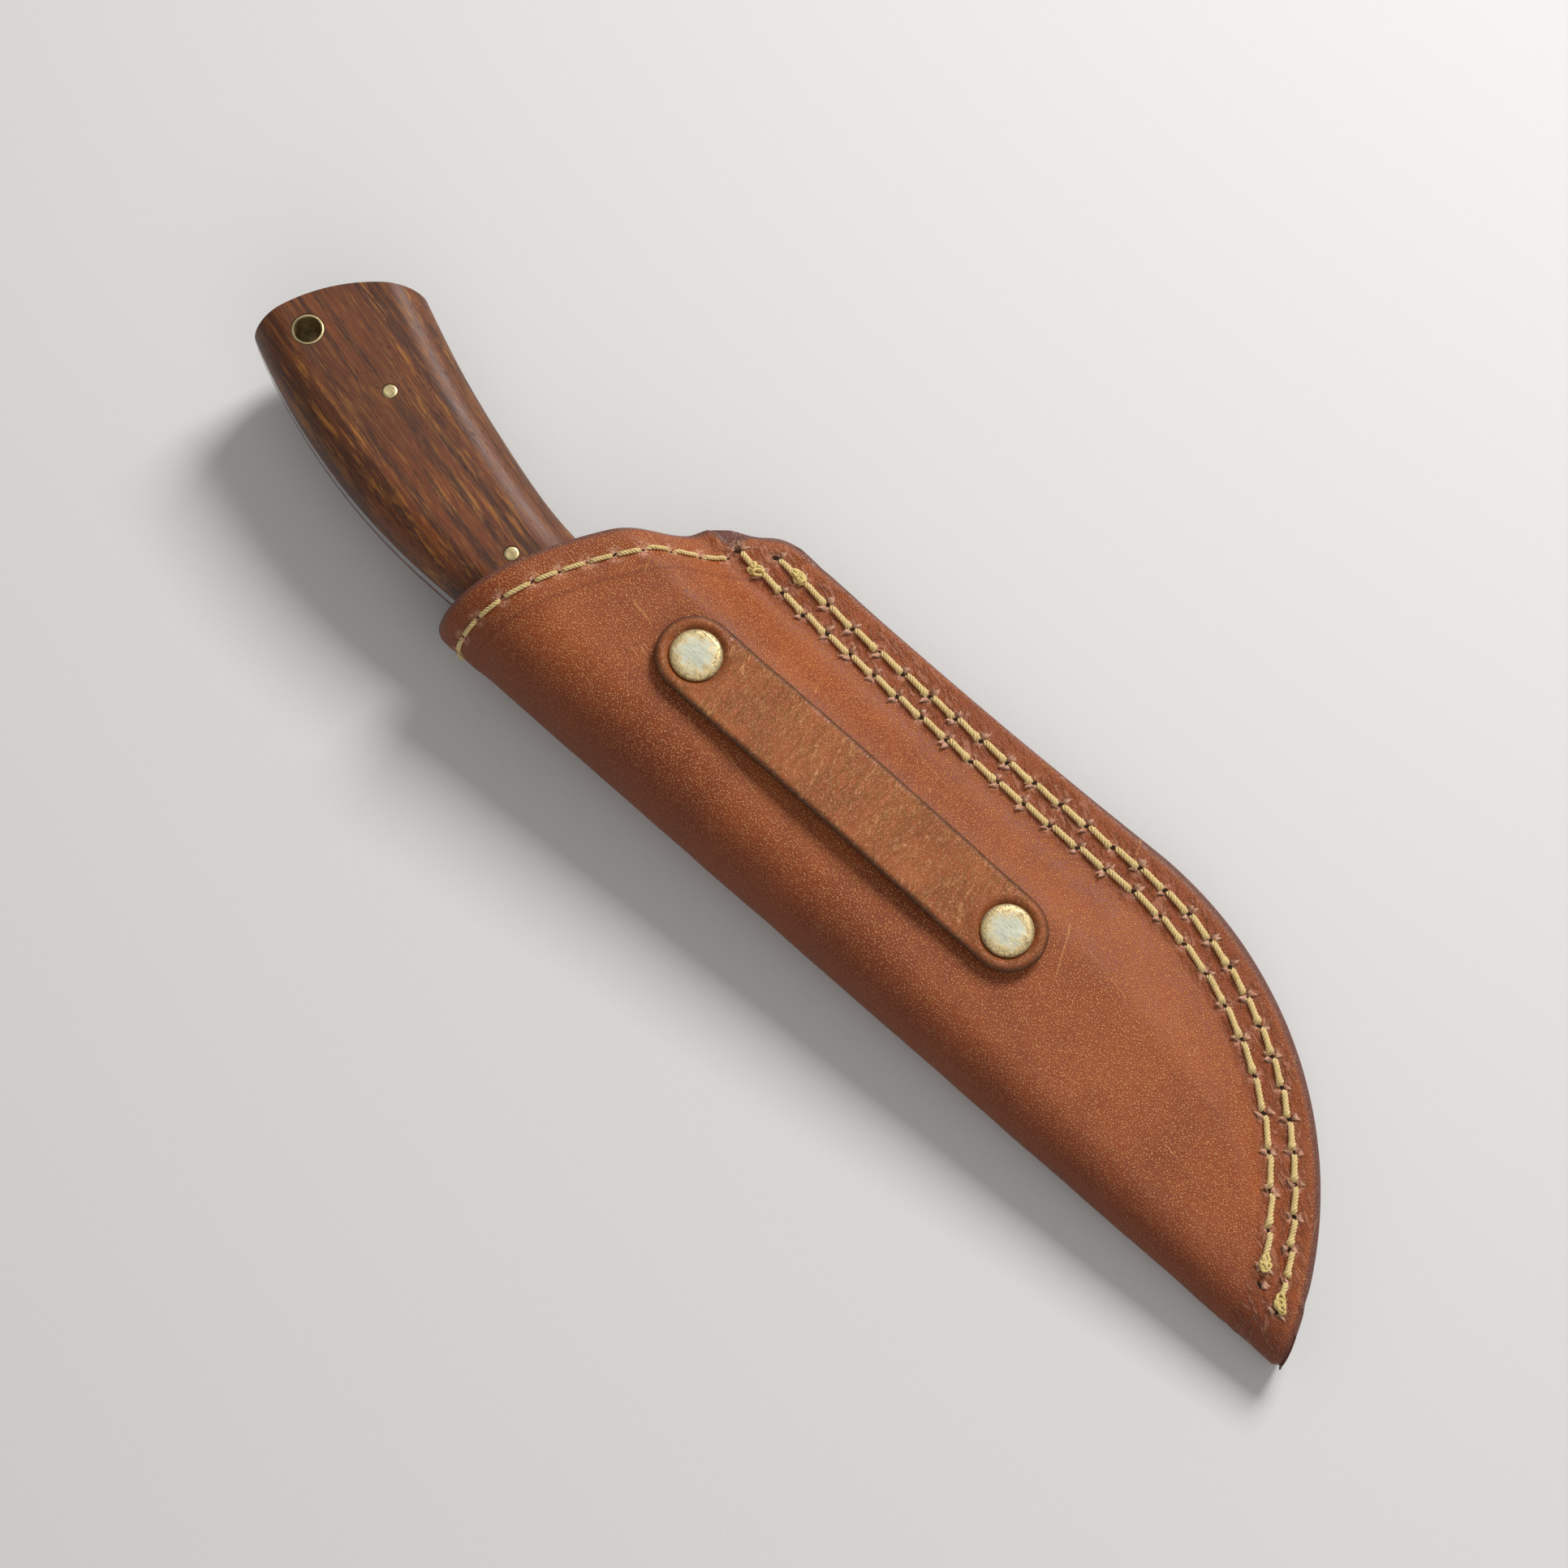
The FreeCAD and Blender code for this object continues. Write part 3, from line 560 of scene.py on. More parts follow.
def burnished_edge_material(look):
    """Waxed, rubbed cut edge with its layers faintly showing."""
    made, tree = new_material("burnished_edge")
    place = millimetres(tree)
    layers = millimetres(tree, (0.12, 0.12, 2.6))
    streak = cloud(tree, layers, 1.0, 4.0, 0.65, 0.3)
    patch = cloud(tree, place, 0.5, 4.0, 0.6)
    base = mixed(tree, fade(tree, streak, 0.35, 0.68), rgba(look.edge_dark_and_hole_shade), rgba(look.edge_warm))
    base = mixed(tree, fade(tree, patch, 0.58, 0.75, 0.0, 0.4), base, rgba(look.leather_top))
    shader = add(tree, "ShaderNodeBsdfPrincipled", inputs={
        "Base Color": base, "Roughness": fade(tree, patch, 0.3, 0.7, 0.24, 0.45),
        "Specular IOR Level": 0.6, "Normal": bumped(tree, streak, 0.1)})
    close_material(tree, shader)
    return made


def raw_leather_material(look, name, colour, dark):
    """Fuzzy flesh side, torn fibre and split leather."""
    made, tree = new_material(name)
    place = millimetres(tree)
    fibre = placed(tree, effect("fibre"), Vector=place, Density=2.4)
    base = mixed(tree, fade(tree, fibre["Height"], 0.3, 0.7), rgba(dark), rgba(colour))
    base = mixed(tree, fade(tree, fibre["Shade"], 0.4, 0.7, 0.0, 0.5), base, rgba(look.raw_leather))
    shader = add(tree, "ShaderNodeBsdfPrincipled", inputs={
        "Base Color": base, "Roughness": 0.85, "Specular IOR Level": 0.25,
        "Normal": bumped(tree, fibre["Height"], 0.25)})
    close_material(tree, shader)
    return made


def thread_material(name, colour, dark):
    """Waxed twisted thread with fine fibres and soiled hollows."""
    made, tree = new_material(name)
    place = millimetres(tree)
    fibre = placed(tree, effect("fibre"), Vector=place, Density=6.0)
    tone = cloud(tree, place, 0.6, 3.0, 0.6)
    base = mixed(tree, fade(tree, fibre["Height"], 0.3, 0.66), rgba(dark), rgba(colour))
    base = mixed(tree, fade(tree, tone, 0.52, 0.75, 0.0, 0.45), base, rgba(dark))
    shader = add(tree, "ShaderNodeBsdfPrincipled", inputs={
        "Base Color": base, "Roughness": fade(tree, tone, 0.3, 0.7, 0.5, 0.7),
        "Specular IOR Level": 0.35, "Sheen Weight": 0.15, "Sheen Roughness": 0.5,
        "Normal": bumped(tree, fibre["Height"], 0.06)})
    close_material(tree, shader)
    return made


def hole_material(look):
    """Shadowed inside of an awl hole."""
    made, tree = new_material("awl_hole")
    tone = cloud(tree, millimetres(tree), 2.0, 3.0, 0.6)
    base = mixed(tree, fade(tree, tone, 0.3, 0.7), rgba(look.hole_shade), rgba(look.edge_dark_and_hole_shade))
    shader = add(tree, "ShaderNodeBsdfPrincipled", inputs={
        "Base Color": base, "Roughness": 0.9, "Specular IOR Level": 0.1})
    close_material(tree, shader)
    return made


def wood_material(look):
    """Oiled reddish hardwood with long dark and golden streaks and open pores."""
    made, tree = new_material("handle_wood")
    turn = math.radians(look.grain_turn)
    along = millimetres(tree, (0.045, 1.0, 0.55), turn)
    near = millimetres(tree, (0.09, 1.0, 0.8), turn)
    place = millimetres(tree)
    drift = cloud(tree, along, 0.14, 3.0, 0.6, 0.5)
    bands = cloud(tree, along, 0.55, 6.0, 0.62, 0.35)
    streaks = cloud(tree, near, 1.25, 5.0, 0.68, 0.2)
    hair = cloud(tree, millimetres(tree, (0.06, 1.0, 1.0), turn), 3.6, 3.0, 0.6)
    flame = cloud(tree, place, 0.06, 2.0, 0.5)

    base = mixed(tree, fade(tree, bands, 0.26, 0.62), rgba(look.wood_dark), rgba(look.wood))
    gold = times(tree, fade(tree, streaks, 0.5, 0.68), fade(
        tree, drift, 0.38, 0.6, 0.15, 1.0))
    base = mixed(tree, times(tree, gold, 0.8), base, rgba(look.wood_gold))
    red = times(tree, fade(tree, flame, 0.42, 0.62), fade(tree, bands, 0.45, 0.6))
    base = mixed(tree, times(tree, red, 0.45), base, rgba(look.wood_red))
    vein = fade(tree, sums(tree, "ABSOLUTE", sums(tree, "SUBTRACT", bands, 0.43)), 0.028, 0.0)
    base = mixed(tree, times(tree, vein, 0.6), base, rgba(look.wood_vein))
    base = mixed(tree, fade(tree, hair, 0.5, 0.68, 0.0, 0.5), base, rgba(look.wood_dark))
    base = mixed(tree, fade(tree, hair, 0.48, 0.3, 0.0, 0.3), base, rgba(look.wood_gold))

    pore_place = millimetres(tree, (0.28, 3.2, 3.2), turn)
    pore = fade(tree, cells(tree, pore_place, 1.0), 0.2, 0.08)
    pore = times(tree, pore, fade(tree, cloud(tree, along, 1.0, 2.0), 0.42, 0.58))
    base = mixed(tree, times(tree, pore, 0.75), base, rgba(look.wood_vein))

    relief = sums(tree, "SUBTRACT", times(tree, hair, 0.35), pore)
    rough = sums(tree, "ADD", fade(tree, streaks, 0.3, 0.7, 0.44, 0.56),
                 times(tree, pore, 0.3))
    shader = add(tree, "ShaderNodeBsdfPrincipled", inputs={
        "Base Color": base, "Roughness": rough, "Specular IOR Level": 0.36,
        "Coat Weight": 0.06, "Coat Roughness": 0.4,
        "Normal": bumped(tree, relief, 0.05)})
    close_material(tree, shader)
    return made


def brass_material(look):
    """Old brass of the pins and the lanyard tube."""
    made, tree = new_material("handle_brass")
    place = millimetres(tree)
    worn = placed(tree, effect("tarnish"), Vector=place, Size=1.6)
    base = mixed(tree, fade(tree, worn["Stain"], 0.38, 0.64), rgba(look.brass), rgba(look.brass_dull))
    base = mixed(tree, times(tree, worn["Specks"], 0.4), base, rgba(look.brass_stain))
    rough = fade(tree, worn["Stain"], 0.35, 0.65, 0.38, 0.55)
    rough = sums(tree, "ADD", rough, times(tree, worn["Scratches"], 0.15))
    shader = add(tree, "ShaderNodeBsdfPrincipled", inputs={
        "Base Color": base, "Roughness": rough, "Metallic": 1.0,
        "Normal": bumped(tree, worn["Scratches"], 0.006)})
    close_material(tree, shader)
    return made


def rivet_material(look):
    """Rivet cap: plating rubbed through to grey metal in the middle, stained at the rim."""
    made, tree = new_material("rivet_cap")
    place = millimetres(tree)
    worn = placed(tree, effect("tarnish"), Vector=place, Size=1.1)
    centre = attribute(tree, "cap_radius")
    ragged = sums(tree, "ADD", centre, times(tree, sums(
        tree, "SUBTRACT", worn["Stain"], 0.5), 1.3))
    base = mixed(tree, fade(tree, ragged, 0.35, 0.85), rgba(look.rivet_worn), rgba(look.rivet_brass))
    stain = times(tree, fade(tree, ragged, 0.5, 1.0), fade(
        tree, cloud(tree, place, 2.6, 4.0, 0.7), 0.42, 0.6))
    base = mixed(tree, times(tree, stain, 0.75), base, rgba(look.rivet_stain))
    base = mixed(tree, times(tree, worn["Specks"], 0.25), base, rgba(look.rivet_stain))
    rough = sums(tree, "ADD", fade(tree, ragged, 0.3, 0.9, 0.58, 0.42),
                 times(tree, stain, 0.2))
    relief = sums(tree, "SUBTRACT", times(tree, worn["Stain"], 0.8), worn["Scratches"])
    shader = add(tree, "ShaderNodeBsdfPrincipled", inputs={
        "Base Color": base, "Roughness": rough, "Metallic": fade(tree, stain, 0.0, 1.0, 0.6, 0.4),
        "Normal": bumped(tree, relief, 0.02)})
    close_material(tree, shader)
    return made


def steel_material(look):
    """Satin blade steel with fine grinding lines across it."""
    made, tree = new_material("blade_steel")
    place = millimetres(tree)
    worn = placed(tree, effect("tarnish"), Vector=place, Size=9.0)
    lines = cloud(tree, millimetres(tree, (7.0, 0.12, 1.0)), 1.0, 4.0, 0.7)
    base = mixed(tree, fade(tree, lines, 0.3, 0.7), rgba(look.steel_dark), rgba(look.steel))
    base = mixed(tree, fade(tree, worn["Stain"], 0.56, 0.72, 0.0, 0.3), base, rgba(look.steel_dark))
    rough = sums(tree, "ADD", fade(tree, lines, 0.3, 0.7, 0.24, 0.36),
                 fade(tree, worn["Stain"], 0.5, 0.75, 0.0, 0.14))
    shader = add(tree, "ShaderNodeBsdfPrincipled", inputs={
        "Base Color": base, "Roughness": rough, "Metallic": 1.0, "Anisotropic": 0.5,
        "Normal": bumped(tree, lines, 0.008)})
    close_material(tree, shader)
    return made


def floor_material(look):
    """Plain pale paper."""
    made, tree = new_material("floor_paper")
    place = millimetres(tree)
    tooth = cloud(tree, place, 3.0, 3.0, 0.6)
    base = mixed(tree, fade(tree, tooth, 0.3, 0.7), rgba(look.floor), rgba(look.floor_light))
    shader = add(tree, "ShaderNodeBsdfPrincipled", inputs={
        "Base Color": base, "Roughness": 0.9, "Specular IOR Level": 0.2})
    close_material(tree, shader)
    return made


# ---- Sheath leather ---------------------------------------------------------------------

EDGE_STEPS = [0.0, 0.12, 0.3, 0.6, 1.0]         # insets of the first rows, in millimetres
SHEET_COLUMNS = 300
SLOPE_ROWS = 78
FOLD_ROWS = 18
UNDER_EVERY = 2
NORMAL_ROUNDS = 3
SHORTEST_STITCH = 3.0                           # anything shorter is a sliver of a mesh
MOUTH_BULGE = 0.6                               # rise of the front panel beside the corner
MOUTH_LIP = 0.9                                 # and how far its rim leans out there


class SkinProbe:
    """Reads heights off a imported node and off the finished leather."""

    def __init__(self, bm):
        self.tree = BVHTree.FromBMesh(bm)

    def above(self, x, y, side=1):
        """Point and normal where a plumb line meets the skin from outside."""
        start = Vector((x, y, side * 60.0))
        place, normal, _, _ = self.tree.ray_cast(start, Vector((0, 0, -side)))
        return place, normal

    def around(self, place):
        """Nearest point and normal of the skin."""
        spot, normal, _, _ = self.tree.find_nearest(place)
        return spot, normal

    def under(self, place, out):
        """Where a line along a given direction meets the skin from outside."""
        spot = self.tree.ray_cast(place + out * 6.0, -out, 12.0)[0]
        return self.around(place)[0] if spot is None else spot


def bench_copy(node):
    bm = merged_copy(node)
    bmesh.ops.transform(bm, matrix=TO_BENCH, verts=bm.verts)
    return bm


def islands(bm):
    """Connected parts of a mesh, as lists of places."""
    left = set(bm.verts)
    parts = []
    while left:
        seed = left.pop()
        part, stack = [seed], [seed]
        while stack:
            for edge in stack.pop().link_edges:
                for vert in edge.verts:
                    if vert in left:
                        left.remove(vert)
                        part.append(vert)
                        stack.append(vert)
        parts.append([v.co.copy() for v in part])
    return parts


def stitch_ends(node):
    """Hole to hole ends of each stitch in a packed row of thread, in order along the row."""
    bm = bench_copy(node)
    ends = []
    for part in islands(bm):
        middle = sum(part, Vector()) / len(part)
        first = max(part, key=lambda p: (p - middle).length)
        second = max(part, key=lambda p: (p - first).length)
        if (second - first).length < SHORTEST_STITCH:
            continue
        reach = (second - first).normalized() * 0.5
        ends.append((first - reach, second + reach))
    bm.free()
    return ends


def edge_row(node):
    """An edge row's stitches, each from its end nearer the mouth, ordered from mouth to tip."""
    ends = [pair if pair[0].x > pair[1].x else pair[::-1] for pair in stitch_ends(node)]
    return sorted(ends, key=lambda pair: -pair[0].x)


def mouth_row():
    """The mouth's stitches from the visible side's edge over the fold to the other side."""
    ends = stitch_ends("mouth_row_thread")
    top = sorted((p for p in ends if p[0].z + p[1].z > 1.0), key=lambda p: p[0].y + p[1].y)
    low = sorted((p for p in ends if p[0].z + p[1].z <= 1.0), key=lambda p: -p[0].y - p[1].y)
    row = [p if p[0].y < p[1].y else p[::-1] for p in top]
    last = row[-1][1]
    for pair in low:
        row.append(pair if (pair[0] - last).length < (pair[1] - last).length else pair[::-1])
        last = row[-1][1]
    return row


def row_holes(row):
    """Hole places along a row of stitches."""
    holes = [row[0][0]]
    for before, after in zip(row, row[1:]):
        holes.append((before[1] + after[0]) / 2)
    return holes + [row[-1][1]]


def smooth_fade(value, start, end):
    share = min(1.0, max(0.0, (value - start) / (end - start)))
    return share * share * (3 - 2 * share)


def leather_shift(place, inset, rim, hole):
    """How far worn, stitched leather stands off its plain form, along its normal."""
    shift = 0.13 * noise.noise(place / 15.0) + 0.055 * noise.noise(place / 4.3)
    shift += 0.02 * noise.noise(place / 1.4)
    shift -= 0.34 * math.exp(-(hole / 0.62) ** 2)
    shift += 0.07 * math.exp(-((hole - 1.5) / 0.6) ** 2)
    if inset < 1.4:
        shift -= 0.8 * (1 - inset / 1.4) ** 2
    shift -= 0.12 * math.exp(-((inset - INNER_ROW + 1.6) / 2.4) ** 2)
    if 5.5 < inset < 12.0 and place.x < BELLY_RUN + 20:
        drag = smooth_fade(place.x, BELLY_RUN + 20, BELLY_RUN - 25)
        drag *= 0.55 + 0.9 * noise.noise(Vector((place.x / 3.1, place.y / 3.1, 5.0)))
        shift -= 0.3 * drag * math.exp(-((inset - 9.3) / 0.7) ** 2)
        shift += 0.16 * drag * math.exp(-((inset - 8.3) / 0.4) ** 2)
    if 2.6 < inset < 9.0:
        crumple = noise.noise(Vector((place.x / 1.3, place.y / 1.3, 9.0)))
        shift += 0.1 * crumple * smooth_fade(inset, 2.6, 3.6) * smooth_fade(inset, 9.0, 7.8)
    if rim < 9.5:
        shift += 0.16 * smooth_fade(rim, 9.0, 7.4)
        shift -= 0.3 * math.exp(-((rim - MOUTH_ROW) / 0.75) ** 2)
        shift += 0.1 * math.exp(-((rim - 2.1) / 1.0) ** 2)
    if rim < 1.05:
        shift -= 0.4 * (1 - max(0.0, rim) / 1.05) ** 2
    return shift


def column_plan(share):
    """Plan point where a column of the leather starts, and a function from Y to its X."""
    arc_length = BELLY_R * (math.pi / 2 - math.asin(BELLY_CENTRE.y / BELLY_R))
    run = CORNER_X - BELLY_RUN
    at = share * (arc_length + run)
    if at < arc_length:
        turn = math.pi * 1.5 - (arc_length - at) / BELLY_R
        start = BELLY_CENTRE + BELLY_R * Vector((math.cos(turn), math.sin(turn)))
        low = min(start.y, -0.05)
        fold_x = BELLY_RUN + (start.x - BELLY_RUN) * BELLY_CENTRE.y / (BELLY_CENTRE.y - start.y)
        return low, lambda y: fold_x + (start.x - fold_x) * y / low
    across = (at - arc_length) / run
    return -SHEATH_WIDTH, lambda y: BELLY_RUN + (rim_x(y) - BELLY_RUN) * across


def hollow_edge(x, y):
    """Y with the long edge's slight hollow, which fades towards the fold."""
    middle = (BELLY_RUN + EDGE_END_X) / 2
    half_run = (EDGE_END_X - BELLY_RUN) / 2
    sag = EDGE_SAG * max(0.0, 1 - ((x - middle) / half_run) ** 2) if x > BELLY_RUN else 0.0
    return y * (1 - sag / SHEATH_WIDTH)


def row_shares():
    """Shares from the stitched edge to the round fold, closer together at the edge."""
    flat = SHEATH_WIDTH - half_at(BELLY_RUN)
    first = [step / flat for step in EDGE_STEPS[:-1]]
    start = EDGE_STEPS[-1] / flat
    rest = SLOPE_ROWS - len(first)
    return first + [start + (1 - start) * (k / (rest - 1)) ** 1.12 for k in range(rest)]


def column_shares():
    """Shares from tip to mouth, closer together at the rim."""
    run = SHEATH_LENGTH
    close = [1 - step / run for step in EDGE_STEPS[:-1]]
    last = 1 - EDGE_STEPS[-1] / run
    rest = SHEET_COLUMNS - len(close)
    return [last * k / (rest - 1) for k in range(rest)] + close[::-1]


def column_points(share, rows):
    """Plan and skin height down one column, from the stitched edge to the fold."""
    low, x_at = column_plan(share)
    half = half_at(x_at(low))
    points = []
    fold_low = max(low, -half_at(x_at(max(low, -half))))
    for part in rows:
        y = low + (fold_low - low) * part
        points.append((x_at(y), y, None))
    for step in range(1, FOLD_ROWS + 1):
        half = half_at(x_at(fold_low))
        start = math.acos(min(1.0, max(-1.0, 1 + fold_low / half)))
        turn = start * (1 - step / FOLD_ROWS)
        y = half * (math.cos(turn) - 1)
        half = half_at(x_at(y))
        y = half * (math.cos(turn) - 1)
        points.append((x_at(y), y, half * math.sin(turn)))
    return points


def sheath_skin(holes):
    """The folded panel's grain side as one sheet, top and underside, with its wear."""
    rows = row_shares()
    columns = [column_points(share, rows) for share in column_shares()]
    cad = bench_copy("sheath_body")
    probe = SkinProbe(cad)
    cad.free()
    near = kdtree.KDTree(len(holes))
    for number, hole in enumerate(holes):
        near.insert(hole, number)
    near.balance()

    under = list(range(0, len(columns[0]), UNDER_EVERY))
    under = [k for k in under if k < len(columns[0]) - 1]
    order = [(k, 1) for k in range(len(columns[0]))] + [(k, -1) for k in reversed(under)]

    bm = bmesh.new()
    bmesh.ops.create_grid(bm, x_segments=len(columns) - 1, y_segments=len(order) - 1, size=1.0)
    bm.verts.ensure_lookup_table()
    table = {}
    for vert in bm.verts:
        i = round((vert.co.x + 1) / 2 * (len(columns) - 1))
        j = round((vert.co.y + 1) / 2 * (len(order) - 1))
        table[i, j] = vert
    for (i, j), vert in table.items():
        k, side = order[j]
        x, y, z = columns[i][k]
        if z is None:
            z = probed_height(probe, x, y, side)
            if side > 0 and x > BELLY_RUN:
                z += MOUTH_BULGE * smooth_fade(rim_depth(x, y), 12.0, 1.0) * beside_corner(y)
        vert.co = Vector((x, hollow_edge(x, y), side * z))
    wear_sheet(bm, near)
    return bm


def probed_height(probe, x, y, side):
    """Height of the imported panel's skin, with its thread grooves filled."""
    plain = skin_height(x, y)
    inset, rim = edge_inset(x, y), rim_depth(x, y)
    if rim < MOUTH_ROW + 1.0 or inset < 0.3 or side < 0:
        return plain
    spot, _ = probe.above(x, y, side)
    if spot is None or abs(side * spot.z - plain) > 0.45:
        return plain
    return side * spot.z


def wear_sheet(bm, near):
    """Moves each point of the sheet along its normal and records where it lies."""
    bmesh.ops.recalc_face_normals(bm, faces=bm.faces)
    bm.normal_update()
    top = max(bm.verts, key=lambda v: v.co.z)
    if top.normal.z < 0:
        bmesh.ops.reverse_faces(bm, faces=bm.faces)
        bm.normal_update()
    names = ("edge_inset", "rim_inset", "hole_distance", "fold_distance")
    layers = [bm.verts.layers.float.new(name) for name in names]
    inner = bm.verts.layers.float_vector.new("flesh_place")
    normals = eased_normals(bm)
    moved = {}
    for vert in bm.verts:
        place = vert.co
        inset = max(0.0, edge_inset(place.x, place.y))
        rim = max(0.0, rim_depth(place.x, place.y))
        if place.x > CORNER_X and place.y < CORNER_Y:
            corner = MOUTH_CORNER - math.hypot(place.x - CORNER_X, place.y - CORNER_Y)
            inset = rim = max(0.0, corner)
        _, _, hole = near.find(place)
        for layer, value in zip(layers, (inset, rim, hole, abs(place.y))):
            vert[layer] = value
        shift = leather_shift(place, inset, rim, hole)
        lean = mouth_lip(place)
        normal = normals[vert]
        vert[inner] = kept_inside(place, place - normal * LEATHER, inset, rim) + lean
        moved[vert] = place + normal * shift + lean
    for vert, place in moved.items():
        vert.co = place


def eased_normals(bm):
    """Each point's normal, evened out over its neighbours."""
    normals = {vert: vert.normal.copy() for vert in bm.verts}
    for _ in range(NORMAL_ROUNDS):
        normals = {
            vert: sum((normals[edge.other_vert(vert)] for edge in vert.link_edges),
                      own.copy()).normalized()
            for vert, own in normals.items()}
    return normals


def beside_corner(y):
    """Where across the mouth the handle's belly pushes the front panel up."""
    return smooth_fade(-y, 36.5, 40.0) * smooth_fade(-y, 45.0, 41.5)


def mouth_lip(place):
    """How the front panel's rim leans out beside the mouth's corner."""
    if place.z < 0 or place.x < RIM_CENTRE.x:
        return Vector()
    out = RIM_OUT * MOUTH_LIP * smooth_fade(rim_depth(place.x, place.y), 10.0, 0.0)
    return Vector((*out, 0.0)) * beside_corner(place.y)


def kept_inside(grain, place, inset, rim):
    """Keeps the flesh side on its own half, and as far inside the cut edges as the grain side."""
    x, y, z = place
    half = math.copysign(1.0, grain.z)
    z = half * max(0.05, half * z)
    if inset < STITCH_BORDER and x < BELLY_RUN:
        spoke = Vector((x, y)) - BELLY_CENTRE
        reach = min(spoke.length, BELLY_R - inset)
        x, y = BELLY_CENTRE + spoke.normalized() * reach
    elif inset < STITCH_BORDER:
        y = max(y, hollow_edge(x, inset - SHEATH_WIDTH))
    if x > RIM_CENTRE.x:
        x = min(x, rim_x(min(y, 0.0)) - rim)
    return Vector((x, min(y, -0.02), z))


def give_thickness(bm):
    """Closes the sheet into leather, with its flesh side and its cut edges."""
    layer = bm.verts.layers.float_vector["flesh_place"]
    grain = list(bm.faces)
    made = bmesh.ops.extrude_face_region(bm, geom=grain, use_keep_orig=True)["geom"]
    flesh = {item for item in made if isinstance(item, bmesh.types.BMFace)}
    for item in made:
        if isinstance(item, bmesh.types.BMVert):
            item.co = item[layer]
    grain = set(grain)
    for face in bm.faces:
        face.material_index = 0 if face in grain else 1 if face in flesh else 2
    bmesh.ops.recalc_face_normals(bm, faces=bm.faces)
    bm.verts.layers.float_vector.remove(layer)


def rest_on_floor(verts):
    """Keeps what lies on the floor from sinking into it."""
    for vert in verts:
        vert.co.z = max(vert.co.z, 0.0)


def model_sheath_leather(look):
    face_holes = []
    for name in ("inner_row_face_thread", "outer_row_face_thread",
                 "inner_row_back_thread", "outer_row_back_thread"):
        face_holes += row_holes(edge_row(name))
    bm = sheath_skin(face_holes + row_holes(mouth_row()))
    skin_mesh = bm.copy()
    give_thickness(bm)
    bmesh.ops.transform(bm, matrix=BENCH, verts=bm.verts)
    rest_on_floor(bm.verts)
    piece = finish_mesh("sheath_leather", bm, [
        sheath_leather_material(look),
        raw_leather_material(look, "flesh_side", look.raw_leather, look.leather_deep),
        burnished_edge_material(look)])
    settle(piece, "sheath", "sheath_leather", "sheath_body")
    return skin_mesh


SKIN = {}


def skin_probe():
    """The finished leather's surface, for what lies on it."""
    if "probe" not in SKIN:
        raise RuntimeError("the sheath's leather is modelled before what lies on it")
    return SKIN["probe"]


# ---- Stitching ------------------------------------------------------------------------------

PLIES = 3
PLY_SEGMENTS = 28
PLY_SHARE = 0.225                               # a ply's radius, as a share of the thread
PLY_REACH = 0.29                                # how far a ply lies off the thread's middle
STITCH_SINK = 0.75                              # how deep a stitch's ends go into their holes
STITCH_GAP = 0.3                                # from a hole's middle to a stitch's end
STITCH_JOG = 0.2                                # how far they lie to either side of the row
STITCH_SWELL = 0.3
SPARE_HOLE = 2.3                                # from the inner row's end to the empty hole
KNOT_THREAD_R = 0.27
STRAY_THREAD_R = 0.045


def laid_stitch(start, end, lift, jog):
    """Centre line of one stitch from hole to hole, with its height over the leather."""
    probe = skin_probe()
    along = (end - start).normalized()
    normals = [probe.around(start.lerp(end, t))[1] for t in (0.15, 0.3, 0.5, 0.7, 0.85)]
    out = sum(normals, Vector()).normalized()
    across = out.cross(along).normalized()
    line = []
    for step in range(PLY_SEGMENTS + 1):
        t = step / PLY_SEGMENTS
        place = start.lerp(end, t) + along * STITCH_GAP * (1 - 2 * t)
        spot = probe.under(place, out)
        arch = max(0.0, 1 - abs(2 * t - 1) ** 6) ** 0.5
        height = lift * arch - STITCH_SINK * (1 - arch)
        line.append((spot + out * height + across * jog * (1 - 2 * t), across, out))
    return line


def twisted(line, ply_offset, turns, phase, knob):
    """Plies of a laid cord round its centre line."""
    cords = []
    count = len(line) - 1
    for ply in range(PLIES):
        cord = []
        for step, (place, across, normal) in enumerate(line):
            t = step / count
            turn = phase + 2 * math.pi * (turns * t + ply / PLIES)
            swell = 1 + knob * math.exp(-((t - 0.86) / 0.1) ** 2)
            reach = ply_offset * swell
            spot = place + across * math.cos(turn) * reach + normal * math.sin(turn) * reach * 0.85
            cord.append((spot, swell * (0.82 + 0.18 * math.sin(math.pi * t) ** 0.5)))
        cords.append(cord)
    return cords


def sewn_row(row, draw, jog, thickness, knob):
    """All the cords of one row of stitches."""
    cords = []
    for start, end in row:
        lift = thickness * (0.34 + draw.uniform(-0.04, 0.05))
        line = laid_stitch(start, end, lift, jog * draw.uniform(0.7, 1.3))
        turns = (end - start).length * draw.uniform(0.5, 0.56)
        cords += twisted(line, thickness * PLY_REACH, turns, draw.uniform(0, 2 * math.pi),
                         knob * draw.uniform(0.4, 1.5))
    return cords


def model_thread_row(name, row, seed, jog, thickness, knob, look):
    draw = random.Random(seed)
    cords = sewn_row(row, draw, jog, thickness, knob)
    material = thread_material(name + "_finish", look.thread, look.thread_dark)
    piece = cords_to_mesh(
        name.replace("thread", "stitches"), cords, thickness * PLY_SHARE, [material])
    rest_on_floor(piece.data.vertices)
    settle(piece, "sheath", "thread", name)


